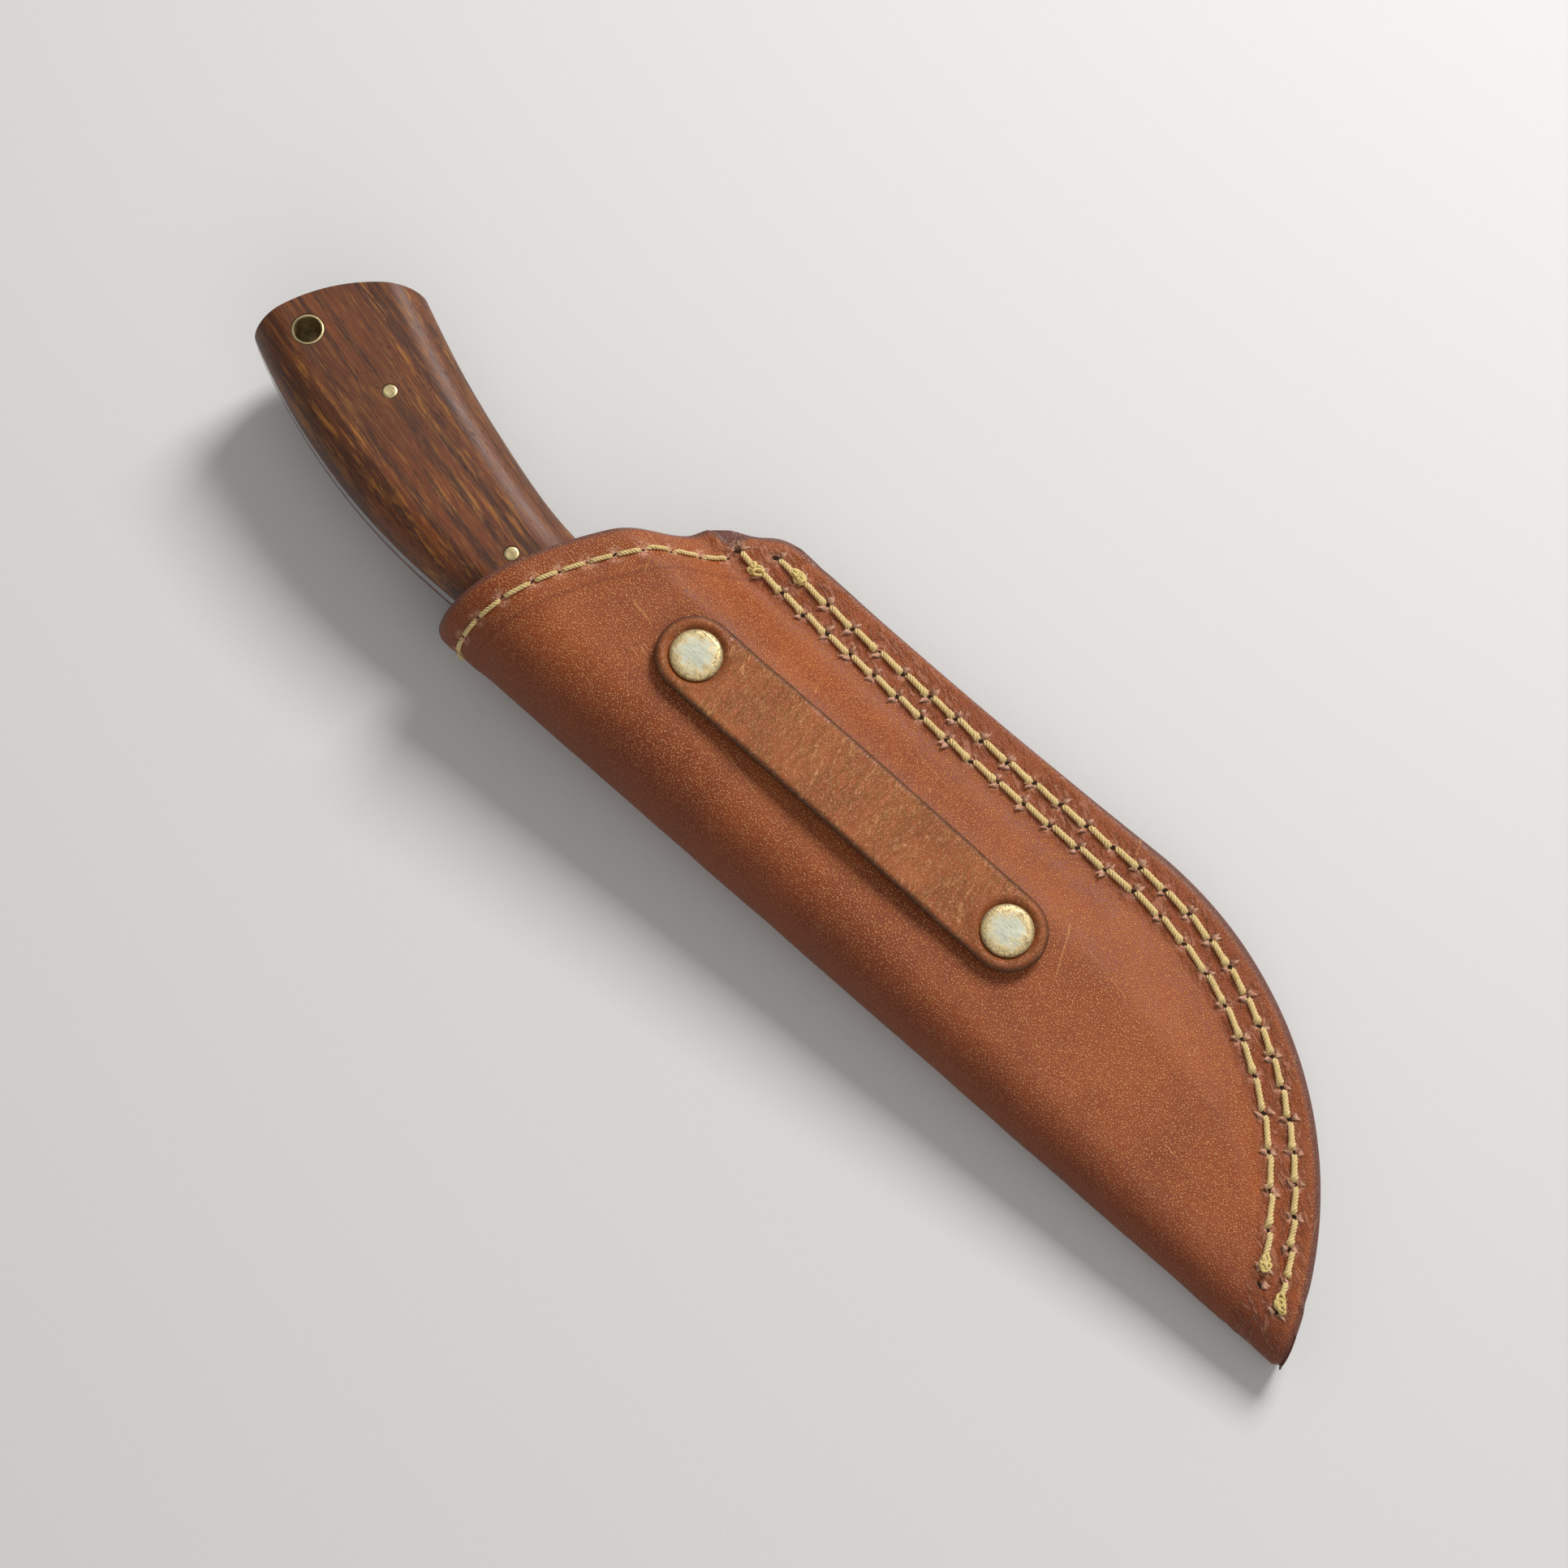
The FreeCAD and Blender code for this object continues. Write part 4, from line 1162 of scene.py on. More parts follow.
def torn_flap(bm, place, out, direction, length, width, draw):
    """A pointed lip of leather that the awl pushed up."""
    side = out.cross(direction).normalized()
    made = bmesh.ops.create_cone(
        bm, cap_ends=True, segments=5, radius1=width / 2, radius2=0.03, depth=length)
    lean = draw.uniform(0.15, 0.6)
    aim = (direction * math.cos(lean) + out * math.sin(lean)).normalized()
    flat = aim.cross(side).normalized()
    basis = Matrix((side, flat, aim)).transposed().to_4x4()
    squash = Matrix.Diagonal((1.0, 0.22, 1.0, 1.0))
    shift = Matrix.Translation((0, 0, length * 0.36))
    bmesh.ops.transform(
        bm, matrix=Matrix.Translation(place) @ basis @ squash @ shift, verts=made["verts"])


def awl_slit(bm, place, out, along, length, width):
    """A dark slanted slit lying in the hole's hollow: a flat patch of painted shade standing for the inside of the
    awl hole.
    """
    made = bmesh.ops.create_circle(bm, cap_ends=True, segments=8, radius=0.5)
    side = out.cross(along).normalized()
    basis = Matrix((along, side, out)).transposed().to_4x4()
    size = Matrix.Diagonal((length, width, 1.0, 1.0))
    bmesh.ops.transform(
        bm, matrix=Matrix.Translation(place) @ basis @ size, verts=made["verts"])


def model_stitch_holes(look):
    """Awl slits of painted shade, and torn leather, round the holes of both faces."""
    probe = skin_probe()
    draw = random.Random(71)
    slits, flaps = bmesh.new(), bmesh.new()
    rows = [(edge_row("inner_row_face_thread"), 1.0), (edge_row("outer_row_face_thread"), 1.0),
            (edge_row("inner_row_back_thread"), 0.7), (edge_row("outer_row_back_thread"), 0.7),
            (mouth_row(), 0.0)]
    for row, torn in rows:
        holes = row_holes(row)
        if row is rows[0][0]:
            holes.append(holes[-1] + (row[-1][1] - row[-1][0]).normalized() * SPARE_HOLE)
        for number, hole in enumerate(holes):
            spot, out = probe.around(hole)
            ahead = holes[min(number + 1, len(holes) - 1)] - holes[max(number - 1, 0)]
            along = (ahead - out * ahead.dot(out)).normalized()
            side = out.cross(along)
            slant = (along * 0.8 + side * draw.uniform(0.45, 0.75)).normalized()
            length = draw.uniform(1.4, 1.9) if torn else draw.uniform(0.8, 1.0)
            awl_slit(slits, spot + out * 0.05, out, slant, length, length * 0.4)
            for way in (-1, 1):
                for _ in range(draw.choice((0, 1, 1, 2)) if torn else 0):
                    reach = draw.uniform(0.8, 1.6) * torn
                    aim = (side * way + along * (0.5 * way + draw.uniform(-0.5, 0.5))).normalized()
                    root = spot + side * way * draw.uniform(0.45, 0.7) + out * 0.4
                    root += along * draw.uniform(-0.45, 0.45)
                    root = probe.around(root)[0] + out * 0.1
                    torn_flap(flaps, root, out, aim, reach, draw.uniform(1.0, 1.7), draw)
    piece = finish_mesh("stitch_hole_slits", slits, [hole_material(look)], BENCH)
    rest_on_floor(piece.data.vertices)
    settle(piece, "sheath", "sheath_leather")
    material = raw_leather_material(look, "torn_leather", look.torn, look.torn_deep)
    piece = finish_mesh("stitch_hole_flaps", flaps, [material], BENCH)
    rest_on_floor(piece.data.vertices)
    settle(piece, "sheath", "sheath_leather")


def loose_fibre(start, aim, length, draw, out):
    """One fine stray fibre."""
    line = []
    bend = Vector((draw.uniform(-1, 1), draw.uniform(-1, 1), draw.uniform(-0.2, 0.6)))
    for step in range(5):
        t = step / 4
        place = start + aim * length * t + bend * length * 0.35 * t * t + out * 0.15 * t
        line.append((place, 1 - 0.6 * t))
    return line


def knot_loop(spot, out, along, side, reach, rise, draw):
    """One untidy turn of a knotted thread end."""
    phase, swing = draw.uniform(0, 2 * math.pi), draw.uniform(-0.9, 0.9)
    lean = draw.uniform(0.1, 0.9)
    long_way = along * math.cos(swing) + side * math.sin(swing)
    short_way = side * math.cos(swing) - along * math.sin(swing)
    short_way = short_way * math.cos(lean) + out * math.sin(lean) * 0.6
    cord = []
    for step in range(15):
        turn = phase + 2 * math.pi * 0.92 * step / 14
        flat = long_way * math.cos(turn) + short_way * math.sin(turn) * 0.62
        lift = rise + 0.1 * math.sin(3 * turn)
        cord.append((spot + flat * reach + out * lift, 0.88 + 0.12 * math.sin(5 * turn)))
    return cord


def model_row_knots(look):
    """Knotted ends of the two edge rows, with short stray fibres."""
    draw = random.Random(5)
    probe = skin_probe()
    cords, fibres = [], []
    for name in ("inner_row_face_thread", "outer_row_face_thread"):
        row = edge_row(name)
        for at, along in ((row[0][1], row[0][1] - row[0][0]), (row[-1][1], row[-1][1] - row[-1][0])):
            along = along.normalized()
            spot, out = probe.around(at - along * 0.9)
            side = out.cross(along).normalized()
            for lay in range(7):
                shift = side * draw.uniform(-0.4, 0.4) + along * draw.uniform(-0.8, 0.8)
                cords.append(knot_loop(spot + shift, out, along, side, draw.uniform(0.45, 0.95),
                                       0.3 + 0.11 * lay, draw))
            for _ in range(7):
                aim = (side * draw.uniform(-1, 1) + along * draw.uniform(-1, 1)).normalized()
                fibres.append(loose_fibre(spot + out * 0.5, aim, draw.uniform(0.8, 2.0), draw, out))
    fold_end = mouth_row()[len(mouth_row()) // 2 - 1][1]
    spot, out = probe.around(fold_end)
    for _ in range(10):
        aim = Vector((draw.uniform(-1, 0.4), draw.uniform(-0.4, 1), draw.uniform(-0.2, 0.3)))
        fibres.append(loose_fibre(
            spot + out * 0.3, aim.normalized(), draw.uniform(0.8, 1.8), draw, out))
    knots = thread_material("knot_thread", look.knot, look.knot_dark)
    piece = cords_to_mesh("row_end_knots", cords, KNOT_THREAD_R, [knots])
    settle(piece, "sheath", "thread")
    stray = thread_material("stray_thread", look.thread, look.thread_dark)
    piece = cords_to_mesh("loose_fibres", fibres, STRAY_THREAD_R, [stray], 0)
    settle(piece, "sheath", "thread")


# ---- Belt strap and rivets -----------------------------------------------------------------

STRAP_HALF = box_size("belt_strap").y / 2
STRAP_THICK = 2.4
STRAP_SHEET = 1.8                               # left under the pressed seats of the rivets
STRAP_RISE = 0.8
STRAP_PAD = 8.0
CAP_R = box_size("upper_rivet_cap").y / 2
CAP_SEAT = STRAP_THICK - 0.55


def face_point(along, y, out):
    """A place on the sheath's sloping top face, a given height off it."""
    c, s = math.cos(LIE_ANGLE), math.sin(LIE_ANGLE)
    return Vector((along * c - out * s, y, along * s + out * c + TIP_HALF))


def rivet_place(node):
    """Distance along the sloping face, and Y, of a rivet."""
    centre = TO_BENCH @ box_centre(node)
    c, s = math.cos(LIE_ANGLE), math.sin(LIE_ANGLE)
    return centre.x * c + (centre.z - TIP_HALF) * s, centre.y


def strap_rise(along, low, high):
    """How far the empty loop stands off between its pads."""
    start, end = low + STRAP_PAD, high - STRAP_PAD
    if not start < along < end:
        return 0.0
    half_run = (end - start) / 2
    radius = (half_run ** 2 + STRAP_RISE ** 2) / (2 * STRAP_RISE)
    off = along - (start + end) / 2
    return math.sqrt(radius ** 2 - off ** 2) - (radius - STRAP_RISE)


def strap_surface(low, high, y_mid):
    """Top of the strap, with rolled edges, pressed rivet seats and wrinkles."""
    step = 0.32
    run = high - low
    straight = round(run / step)
    cap = round(STRAP_HALF / step)
    across = 2 * round(STRAP_HALF / step) + 4
    bm = bmesh.new()
    bmesh.ops.create_grid(bm, x_segments=straight + 2 * cap, y_segments=across, size=1.0)
    layers = [bm.verts.layers.float.new(name) for name in ("rim_inset", "rivet_distance")]
    for vert in bm.verts:
        b = math.sin(vert.co.y * math.pi / 2) * 0.35 + vert.co.y * 0.65
        column = (vert.co.x + 1) / 2 * (straight + 2 * cap)
        a = min(0.0, column - cap) / cap + max(0.0, column - cap - straight) / cap
        a = math.copysign(math.sin(abs(a) * math.pi / 2) * 0.35 + abs(a) * 0.65, a)
        base = low + run * min(1.0, max(0.0, (column - cap) / straight))
        u = base + a * math.sqrt(1 - b * b / 2) * STRAP_HALF
        v = b * math.sqrt(1 - a * a / 2) * STRAP_HALF
        off = max(0.0, low - u, u - high)
        inset = max(0.0, STRAP_HALF - math.hypot(off, v))
        rivet = min(math.hypot(u - low, v), math.hypot(u - high, v))
        place = Vector((u, v, 0.0))
        h = STRAP_THICK + strap_rise(u, low, high)
        h += 0.1 * noise.noise(place / 9.0)
        h += 0.05 * noise.noise(Vector((u / 0.9, v / 4.0, 7.0)))
        h += 0.035 * noise.noise(Vector((u / 0.5 + v * 0.4, v / 2.2, 3.0)))
        h -= 0.8 * smooth_fade(rivet, CAP_R + 0.75, CAP_R - 0.15)
        h += 0.16 * math.exp(-((rivet - CAP_R - 1.15) / 0.55) ** 2)
        if inset < 1.0:
            h -= 0.62 * (1 - inset / 1.0) ** 2.2
        for layer, value in zip(layers, (inset, rivet)):
            vert[layer] = value
        edge_wave = 0.12 * noise.noise(Vector((u / 8.0, 4.0, 0.0))) * smooth_fade(abs(v), 3, 6)
        vert.co = face_point(u, y_mid + v + edge_wave, h)
    bm.normal_update()
    if sum(f.normal.z for f in bm.faces) < 0:
        bmesh.ops.reverse_faces(bm, faces=bm.faces)
    return bm


def model_belt_strap(look):
    low, y_mid = rivet_place("lower_rivet_cap")
    high, _ = rivet_place("upper_rivet_cap")
    bm = strap_surface(low, high, y_mid)
    piece = finish_mesh("strap_leather", bm, [
        strap_leather_material(look),
        raw_leather_material(look, "strap_flesh", look.raw_leather, look.leather_deep),
        burnished_edge_material(look)], BENCH)
    add_leather_thickness(piece, STRAP_SHEET, 1, 2)
    settle(piece, "sheath", "strap_leather", "belt_strap")


CAP_PROFILE = [(0.0, 0.84), (0.3, 0.838), (0.58, 0.825), (0.78, 0.79), (0.89, 0.71), (0.955, 0.56),
               (0.99, 0.35), (1.0, 0.1), (0.985, -0.08), (0.9, -0.15)]


def model_rivet_cap(look, node, seed):
    """A worn, slightly dented rivet cap."""
    along, y_mid = rivet_place(node)
    shift = Vector((seed * 7.3, seed * 3.1, 0.0))
    bm = bmesh.new()
    before = None
    for radius, height in CAP_PROFILE:
        vert = bm.verts.new((radius * CAP_R, 0.0, height))
        if before is not None:
            bm.edges.new((before, vert))
        before = vert
    bmesh.ops.spin(
        bm, geom=list(bm.verts) + list(bm.edges), cent=(0, 0, 0), axis=(0, 0, 1), dvec=(0, 0, 0),
        angle=2 * math.pi, steps=72, use_merge=True, use_duplicate=False)
    bmesh.ops.remove_doubles(bm, verts=bm.verts, dist=0.001)
    bmesh.ops.holes_fill(bm, edges=bm.edges, sides=0)
    bmesh.ops.recalc_face_normals(bm, faces=bm.faces)
    bmesh.ops.subdivide_edges(bm, edges=[e for e in bm.edges if e.calc_length() > 0.5], cuts=1,
                              use_grid_fill=True)
    layer = bm.verts.layers.float.new("cap_radius")
    for vert in bm.verts:
        vert[layer] = math.hypot(vert.co.x, vert.co.y) / CAP_R
        dent = 0.07 * noise.noise((vert.co + shift) / 2.6) + 0.03 * noise.noise(
            (vert.co + shift) / 0.9)
        vert.co += Vector((0, 0, dent if vert.co.z > 0.2 else 0.0))
    for vert in bm.verts:
        place = vert.co.copy()
        vert.co = face_point(along + place.x, y_mid + place.y, CAP_SEAT + place.z)
    piece = finish_mesh(node + "_worn", bm, [rivet_material(look)], BENCH)
    settle(piece, "sheath", "rivet_metal", node)


# ---- Layered edge, lining and rivet posts ----------------------------------------------------

def model_welt(look):
    """The welt between the panels, finished as a rubbed, burnished edge."""
    bm = merged_copy("welt")
    bmesh.ops.recalc_face_normals(bm, faces=bm.faces)
    piece = finish_mesh("welt_leather", bm, [burnished_edge_material(look)], smooth=False)
    settle(piece, "sheath", "welt_leather", "welt")


def model_lining(look):
    bm = merged_copy("mouth_lining")
    bmesh.ops.recalc_face_normals(bm, faces=bm.faces)
    material = raw_leather_material(look, "lining_suede", look.lining, look.leather_deep)
    piece = finish_mesh("lining_leather", bm, [material])
    piece.data.set_sharp_from_angle(angle=math.radians(35))
    settle(piece, "sheath", "lining_leather", "mouth_lining")


def paint_node(node, material):
    """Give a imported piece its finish."""
    mesh = frame["nodes"][node].data
    mesh.materials.clear()
    mesh.materials.append(material)


# ---- Knife ----------------------------------------------------------------------------------

PIN_R = 1.2
PIN_ROUNDING = 0.22
TUBE_R = 2.6
TUBE_BORE_R = 2.15


def model_handle_scale(node, material):
    """A handle scale with softened edges."""
    bm = merged_copy(node)
    bmesh.ops.recalc_face_normals(bm, faces=bm.faces)
    bmesh.ops.dissolve_limit(
        bm, angle_limit=math.radians(0.6), verts=bm.verts, edges=bm.edges,
        use_dissolve_boundaries=False, delimit=set())
    piece = finish_mesh(node.replace("handle_scale", "wooden_scale"), bm, [material])
    piece.data.set_sharp_from_angle(angle=math.radians(30))
    add_bevel(piece, 0.55, 3, 40)
    settle(piece, "knife", "wood", node)


def model_pin(node, radius, material, bore=0.0):
    """A pin or tube through the handle, filed flush and slightly rounded at its ends."""
    centre = TO_BENCH @ box_centre(node)
    rim = [(radius, HANDLE_HALF - PIN_ROUNDING),
           (radius - 0.3 * PIN_ROUNDING, HANDLE_HALF - 0.3 * PIN_ROUNDING),
           (radius - PIN_ROUNDING, HANDLE_HALF)]
    if bore:
        profile = [(bore, -HANDLE_HALF + 0.1)] + [(r, -z) for r, z in reversed(rim)] + rim
        profile += [(bore + 0.12, HANDLE_HALF), (bore, HANDLE_HALF - 0.14),
                    (bore, -HANDLE_HALF + 0.1)]
    else:
        rim.append((radius - 2 * PIN_ROUNDING, HANDLE_HALF))
        profile = [(0.0, -HANDLE_HALF)] + [(r, -z) for r, z in reversed(rim)] + rim
        profile += [(0.0, HANDLE_HALF)]
    bm = bmesh.new()
    verts = [bm.verts.new((r, 0.0, z)) for r, z in profile]
    for a, b in zip(verts, verts[1:]):
        bm.edges.new((a, b))
    bmesh.ops.spin(
        bm, geom=list(bm.verts) + list(bm.edges), cent=(0, 0, 0), axis=(0, 0, 1), dvec=(0, 0, 0),
        angle=2 * math.pi, steps=48, use_merge=True, use_duplicate=False)
    bmesh.ops.remove_doubles(bm, verts=bm.verts, dist=0.0005)
    bmesh.ops.recalc_face_normals(bm, faces=bm.faces)
    bmesh.ops.translate(bm, vec=(centre.x, centre.y, 0.0), verts=bm.verts)
    piece = finish_mesh(node + "_turned", bm, [material], BENCH)
    piece.data.set_sharp_from_angle(angle=math.radians(40))
    settle(piece, "knife", "brass", node)


# ---- Floor, light and camera -------------------------------------------------------------------

CAMERA_PLACE = Vector((-0.09256, 0.11792, 0.4835))
CAMERA_AIM = Vector((0.01002, 0.00238, 0.008))
CAMERA_LENS = 74.5


def model_stage(look):
    bm = bmesh.new()
    bmesh.ops.create_grid(bm, x_segments=2, y_segments=2, size=1.6)
    floor = finish_mesh("floor", bm, [floor_material(look)])

    camera = bpy.data.cameras.new("camera")
    camera.lens = CAMERA_LENS
    camera.sensor_width = 36.0
    holder = bpy.data.objects.new("camera", camera)
    holder.location = CAMERA_PLACE
    holder.rotation_euler = (CAMERA_AIM - CAMERA_PLACE).to_track_quat("-Z", "Y").to_euler()
    bpy.context.scene.collection.objects.link(holder)
    bpy.context.scene.camera = holder

    place_lamp("key_light", Vector((0.05, -0.62, 0.62)), 0.34, look.key_power)
    place_lamp("fill_light", Vector((-0.55, 0.35, 0.75)), 0.8, look.fill_power)
    world = bpy.data.worlds.new("soft_world")
    world.use_nodes = True
    back = world.node_tree.nodes["Background"]
    back.inputs["Color"].default_value = (1.0, 1.0, 1.0, 1.0)
    back.inputs["Strength"].default_value = look.world_strength
    bpy.context.scene.world = world
    bpy.context.scene.view_settings.view_transform = "Standard"


def place_lamp(name, place, size, power):
    """A square soft lamp aimed at the middle of the object."""
    lamp = bpy.data.lights.new(name, "AREA")
    lamp.size = size
    lamp.energy = power
    holder = bpy.data.objects.new(name, lamp)
    holder.location = place
    holder.rotation_euler = (CAMERA_AIM - place).to_track_quat("-Z", "Y").to_euler()
    bpy.context.scene.collection.objects.link(holder)


# ---- Settings ----------------------------------------------------------------------------------

def colour(label, note, default):
    return FloatVectorProperty(
        name=label, description=note, default=default, min=0.0, max=1.0, size=3, subtype="COLOR")


class KnifeLook(bpy.types.PropertyGroup):
    """Colours and sizes of the finishes"""

    leather: colour("Leather", "Lit grain of the sheath", (0.33, 0.074, 0.014))
    leather_deep: colour("Leather, dark", "Darker parts of the grain", (0.225, 0.046, 0.009))
    leather_warm: colour("Leather, warm", "Warm mottling", (0.39, 0.105, 0.019))
    # Pits between the pebbles, and the colour of the painted shade at the fold and along the lining's edge.
    leather_pit_and_shade: colour("Leather, pits", "Between the pebbles", (0.12, 0.022, 0.005))
    # Paler tops of the pebbles, rubbed wear and painted highlight; also the colour of scratches and edge patches.
    leather_top: colour("Leather, rubbed", "Tops of the pebbles", (0.62, 0.28, 0.10))
    raw_leather: colour("Raw leather", "Scuffed fibre", (0.62, 0.42, 0.29))
    # Torn leather colour, also painted as highlight on the border's creases.
    torn: colour("Torn leather", "Lips of the stitch holes", (0.74, 0.44, 0.30))
    torn_deep: colour("Torn leather, deep", "Roots of the torn lips", (0.45, 0.17, 0.085))
    edge_dark_and_hole_shade: colour("Edge, dark", "Burnished edge", (0.035, 0.016, 0.009))
    edge_rubbed: colour("Edge, rubbed", "Rounded lip of the cut edges", (0.105, 0.05, 0.042))
    # Dark colour of the burnished edges, also used as painted shade round the stitch holes.
    edge_warm: colour("Edge, warm", "Rubbed edge", (0.19, 0.09, 0.045))
    # Painted shade inside a stitch hole.
    hole_shade: colour("Hole", "Inside a stitch hole", (0.018, 0.01, 0.007))
    strap: colour("Strap", "Lit grain of the strap", (0.36, 0.098, 0.02))
    strap_deep: colour("Strap, dark", "Darker parts of the strap", (0.26, 0.062, 0.013))
    # Painted highlight on the strap's wrinkle ridges and pebble tops.
    strap_highlight: colour("Strap, wrinkles", "Pale wrinkles of the strap", (0.62, 0.29, 0.115))
    lining: colour("Lining", "Suede inside the mouth", (0.24, 0.12, 0.07))
    thread: colour("Thread", "Edge thread", (0.84, 0.66, 0.30))
    thread_dark: colour("Thread, soiled", "Hollows of the edge thread", (0.46, 0.29, 0.09))
    knot: colour("Knots", "Waxed knots at the ends of the rows", (0.80, 0.62, 0.23))
    knot_dark: colour("Knots, soiled", "Hollows of the knots", (0.50, 0.34, 0.10))
    wood: colour("Wood", "Handle wood", (0.115, 0.031, 0.007))
    wood_dark: colour("Wood, dark", "Dark bands", (0.050, 0.014, 0.005))
    wood_gold: colour("Wood, gold", "Golden streaks", (0.33, 0.125, 0.018))
    wood_red: colour("Wood, red", "Red flame", (0.17, 0.036, 0.007))
    wood_vein: colour("Wood, veins", "Pores and dark veins", (0.014, 0.005, 0.004))
    brass: colour("Brass", "Pins and tube", (0.62, 0.50, 0.27))
    brass_dull: colour("Brass, dull", "Dulled brass", (0.36, 0.29, 0.15))
    brass_stain: colour("Brass, stain", "Specks on the brass", (0.14, 0.085, 0.045))
    rivet_worn: colour("Rivet, worn", "Rubbed middle of a cap", (0.50, 0.50, 0.39))
    rivet_brass: colour("Rivet, brass", "Rim of a cap", (0.66, 0.50, 0.24))
    rivet_stain: colour("Rivet, stain", "Stains on a cap", (0.12, 0.085, 0.055))
    steel: colour("Steel", "Blade", (0.62, 0.62, 0.63))
    steel_dark: colour("Steel, dark", "Grinding lines", (0.42, 0.42, 0.44))
    floor: colour("Floor", "Paper under the knife", (0.62, 0.61, 0.595))
    floor_light: colour("Floor, light", "Paler paper", (0.64, 0.63, 0.615))
    pebble_density: FloatProperty(
        name="Pebbles per millimetre", description="How fine the leather's grain is",
        default=3.1, min=0.3, max=5.0)
    pebble_depth: FloatProperty(
        name="Pebble depth", description="Depth of the leather's grain in millimetres",
        default=0.11, min=0.0, max=1.0)
    grain_turn: FloatProperty(
        name="Grain direction", description="Angle of the wood's grain to the handle in degrees",
        default=13.0, min=-90.0, max=90.0)
    edge_thread: FloatProperty(
        name="Edge thread", description="Thickness of the edge rows' thread in millimetres",
        default=1.02, min=0.3, max=3.0)
    mouth_thread: FloatProperty(
        name="Mouth thread", description="Thickness of the mouth row's thread in millimetres",
        default=0.8, min=0.3, max=3.0)
    key_power: FloatProperty(
        name="Key light", description="Main lamp", default=7.8, min=0.0, max=200.0, unit="POWER")
    fill_power: FloatProperty(
        name="Fill light", description="Second lamp", default=2.2, min=0.0, max=200.0, unit="POWER")
    world_strength: FloatProperty(
        name="Room light", description="Light from all round", default=0.32, min=0.0, max=5.0)


# ---- Operators -------------------------------------------------------------------------------------

class KNIFE_OT_sheath_leather(bpy.types.Operator):
    """Model the folded leather panel"""

    bl_idname = "knife.sheath_leather"
    bl_label = "Sheath leather"

    def execute(self, context):
        skin_mesh = model_sheath_leather(context.scene.knife_look)
        SKIN["probe"] = SkinProbe(skin_mesh)
        skin_mesh.free()
        return {"FINISHED"}


class KNIFE_OT_stitching(bpy.types.Operator):
    """Model the rows of thread, their holes and their knots"""

    bl_idname = "knife.stitching"
    bl_label = "Stitching"

    def execute(self, context):
        look = context.scene.knife_look
        for seed, name in enumerate(("inner_row_face_thread", "outer_row_face_thread",
                                     "inner_row_back_thread", "outer_row_back_thread")):
            model_thread_row(name, edge_row(name), seed + 11, STITCH_JOG, look.edge_thread,
                             STITCH_SWELL, look)
        model_thread_row("mouth_row_thread", mouth_row(), 23, 0.0, look.mouth_thread, 0.0, look)
        model_stitch_holes(look)
        model_row_knots(look)
        return {"FINISHED"}


class KNIFE_OT_belt_strap(bpy.types.Operator):
    """Model the belt strap"""

    bl_idname = "knife.belt_strap"
    bl_label = "Belt strap"

    def execute(self, context):
        model_belt_strap(context.scene.knife_look)
        return {"FINISHED"}


class KNIFE_OT_rivets(bpy.types.Operator):
    """Model the rivet caps and finish their posts"""

    bl_idname = "knife.rivets"
    bl_label = "Rivets"

    def execute(self, context):
        look = context.scene.knife_look
        model_rivet_cap(look, "upper_rivet_cap", 1)
        model_rivet_cap(look, "lower_rivet_cap", 2)
        brass = brass_material(look)
        paint_node("upper_rivet_post", brass)
        paint_node("lower_rivet_post", brass)
        return {"FINISHED"}


class KNIFE_OT_edge_layers(bpy.types.Operator):
    """Model the welt and the lining in the mouth"""

    bl_idname = "knife.edge_layers"
    bl_label = "Welt and lining"

    def execute(self, context):
        look = context.scene.knife_look
        model_welt(look)
        model_lining(look)
        return {"FINISHED"}


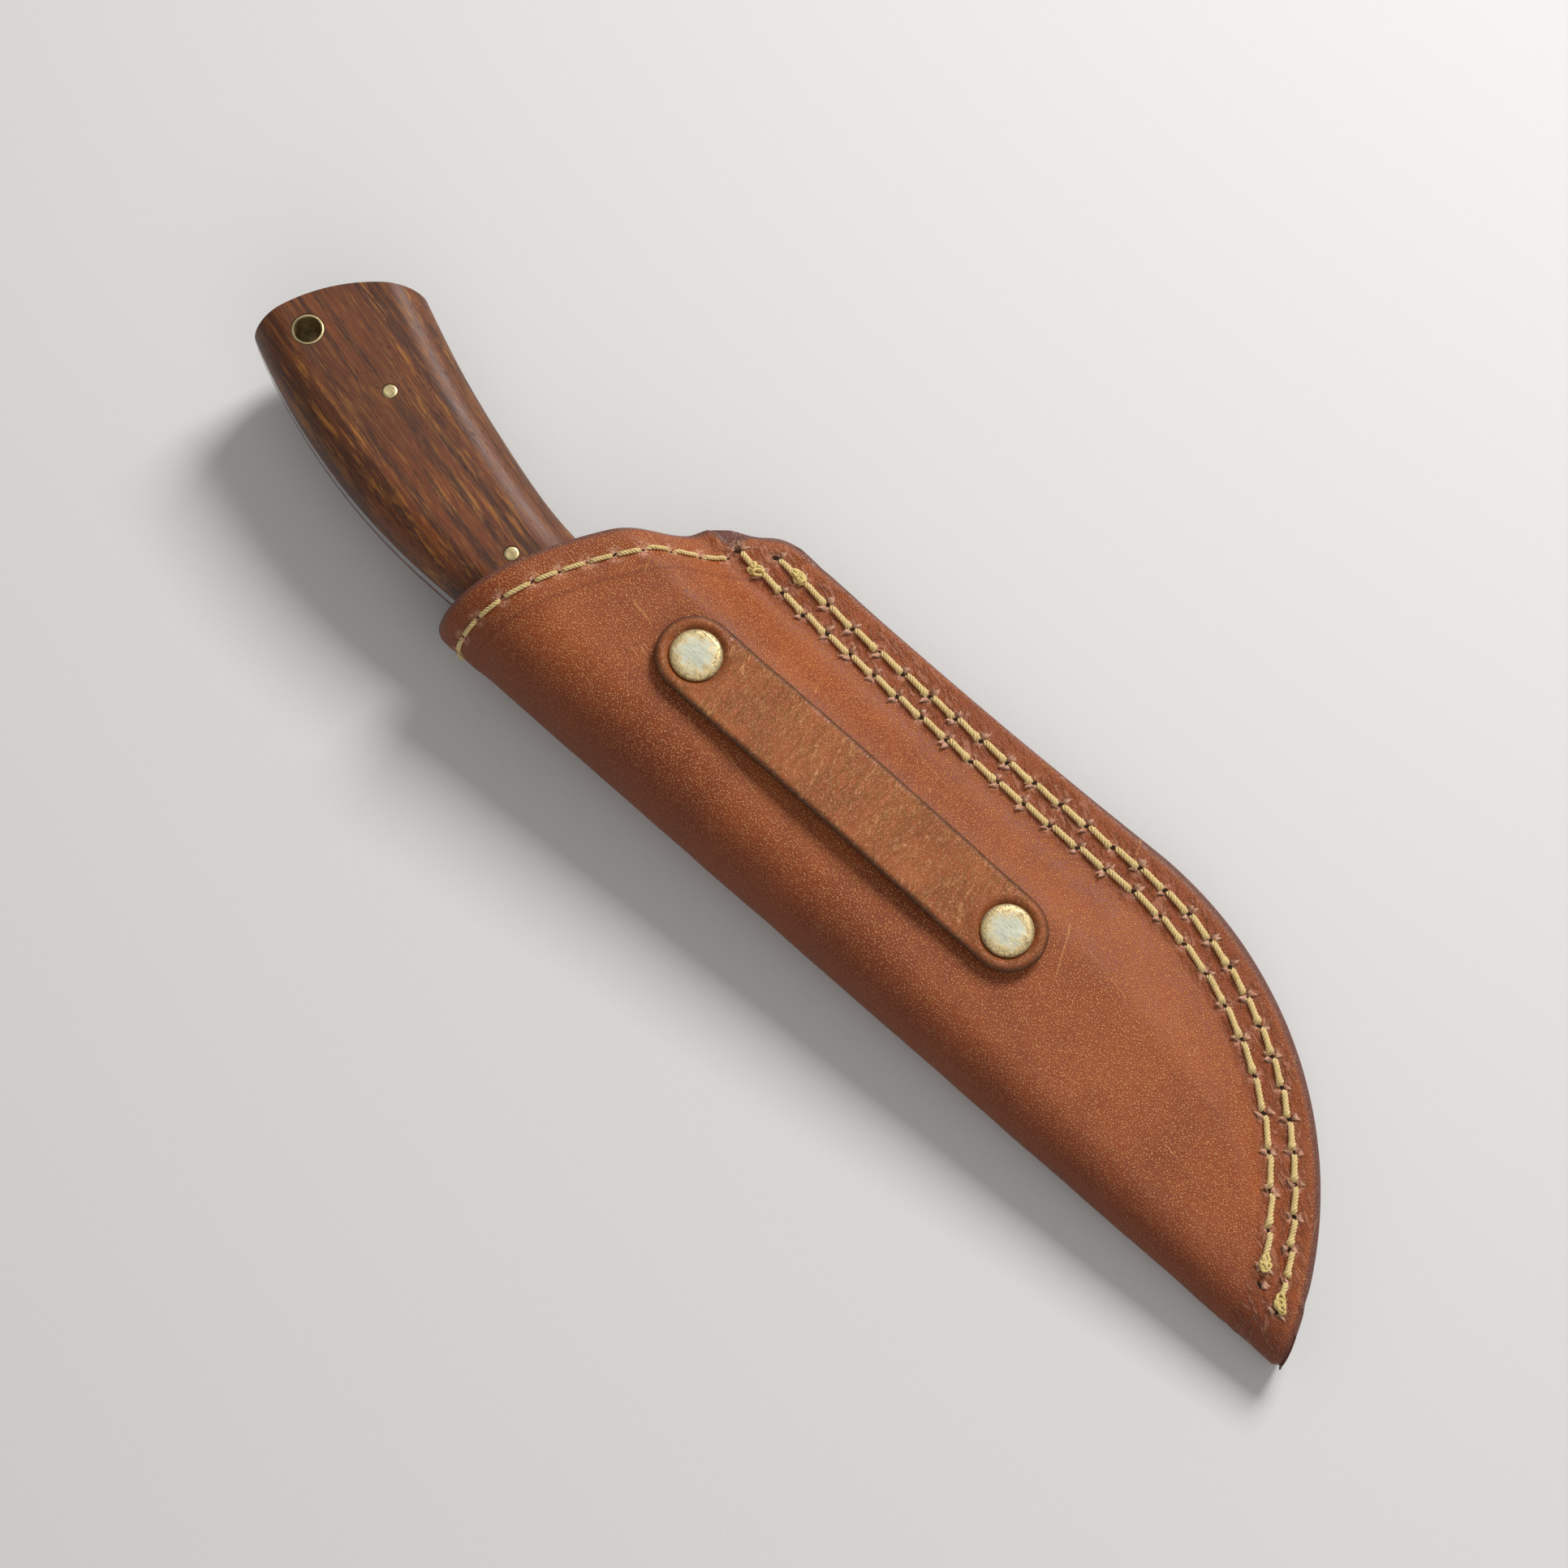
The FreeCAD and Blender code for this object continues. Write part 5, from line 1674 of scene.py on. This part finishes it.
class KNIFE_OT_handle(bpy.types.Operator):
    """Model the handle scales, pins and lanyard tube"""

    bl_idname = "knife.handle"
    bl_label = "Handle"

    def execute(self, context):
        look = context.scene.knife_look
        wood = wood_material(look)
        brass = brass_material(look)
        for node in ("top_handle_scale", "bottom_handle_scale"):
            model_handle_scale(node, wood)
        for node in ("rear_pin", "middle_pin", "front_pin"):
            model_pin(node, PIN_R, brass)
        model_pin("lanyard_tube", TUBE_R, brass, TUBE_BORE_R)
        return {"FINISHED"}


class KNIFE_OT_blade(bpy.types.Operator):
    """Finish the blade and its tang"""

    bl_idname = "knife.blade"
    bl_label = "Blade"

    def execute(self, context):
        paint_node("blade", steel_material(context.scene.knife_look))
        return {"FINISHED"}


class KNIFE_OT_stage(bpy.types.Operator):
    """Lay the floor and place the lamps and the camera"""

    bl_idname = "knife.stage"
    bl_label = "Stage"

    def execute(self, context):
        model_stage(context.scene.knife_look)
        return {"FINISHED"}


STEPS = (
    KNIFE_OT_sheath_leather, KNIFE_OT_stitching, KNIFE_OT_belt_strap, KNIFE_OT_rivets,
    KNIFE_OT_edge_layers, KNIFE_OT_handle, KNIFE_OT_blade, KNIFE_OT_stage,
)


class KNIFE_PT_pieces(bpy.types.Panel):
    """Buttons for the pieces and their finishes"""

    bl_label = "Sheathed knife"
    bl_idname = "KNIFE_PT_pieces"
    bl_space_type = "VIEW_3D"
    bl_region_type = "UI"
    bl_category = "Knife"

    def draw(self, context):
        column = self.layout.column(align=True)
        for step in STEPS:
            column.operator(step.bl_idname)
        look = context.scene.knife_look
        column = self.layout.column()
        for name in look.bl_rna.properties.keys():
            if name not in ("rna_type", "name"):
                column.prop(look, name)


CLASSES = (KnifeLook,) + STEPS + (KNIFE_PT_pieces,)


def register():
    for made in CLASSES:
        bpy.utils.register_class(made)
    bpy.types.Scene.knife_look = PointerProperty(type=KnifeLook)


def unregister():
    del bpy.types.Scene.knife_look
    for made in reversed(CLASSES):
        bpy.utils.unregister_class(made)


def main():
    register()
    for step in STEPS:
        group, name = step.bl_idname.split(".")
        getattr(getattr(bpy.ops, group), name)()


if __name__ == "__main__":
    main()
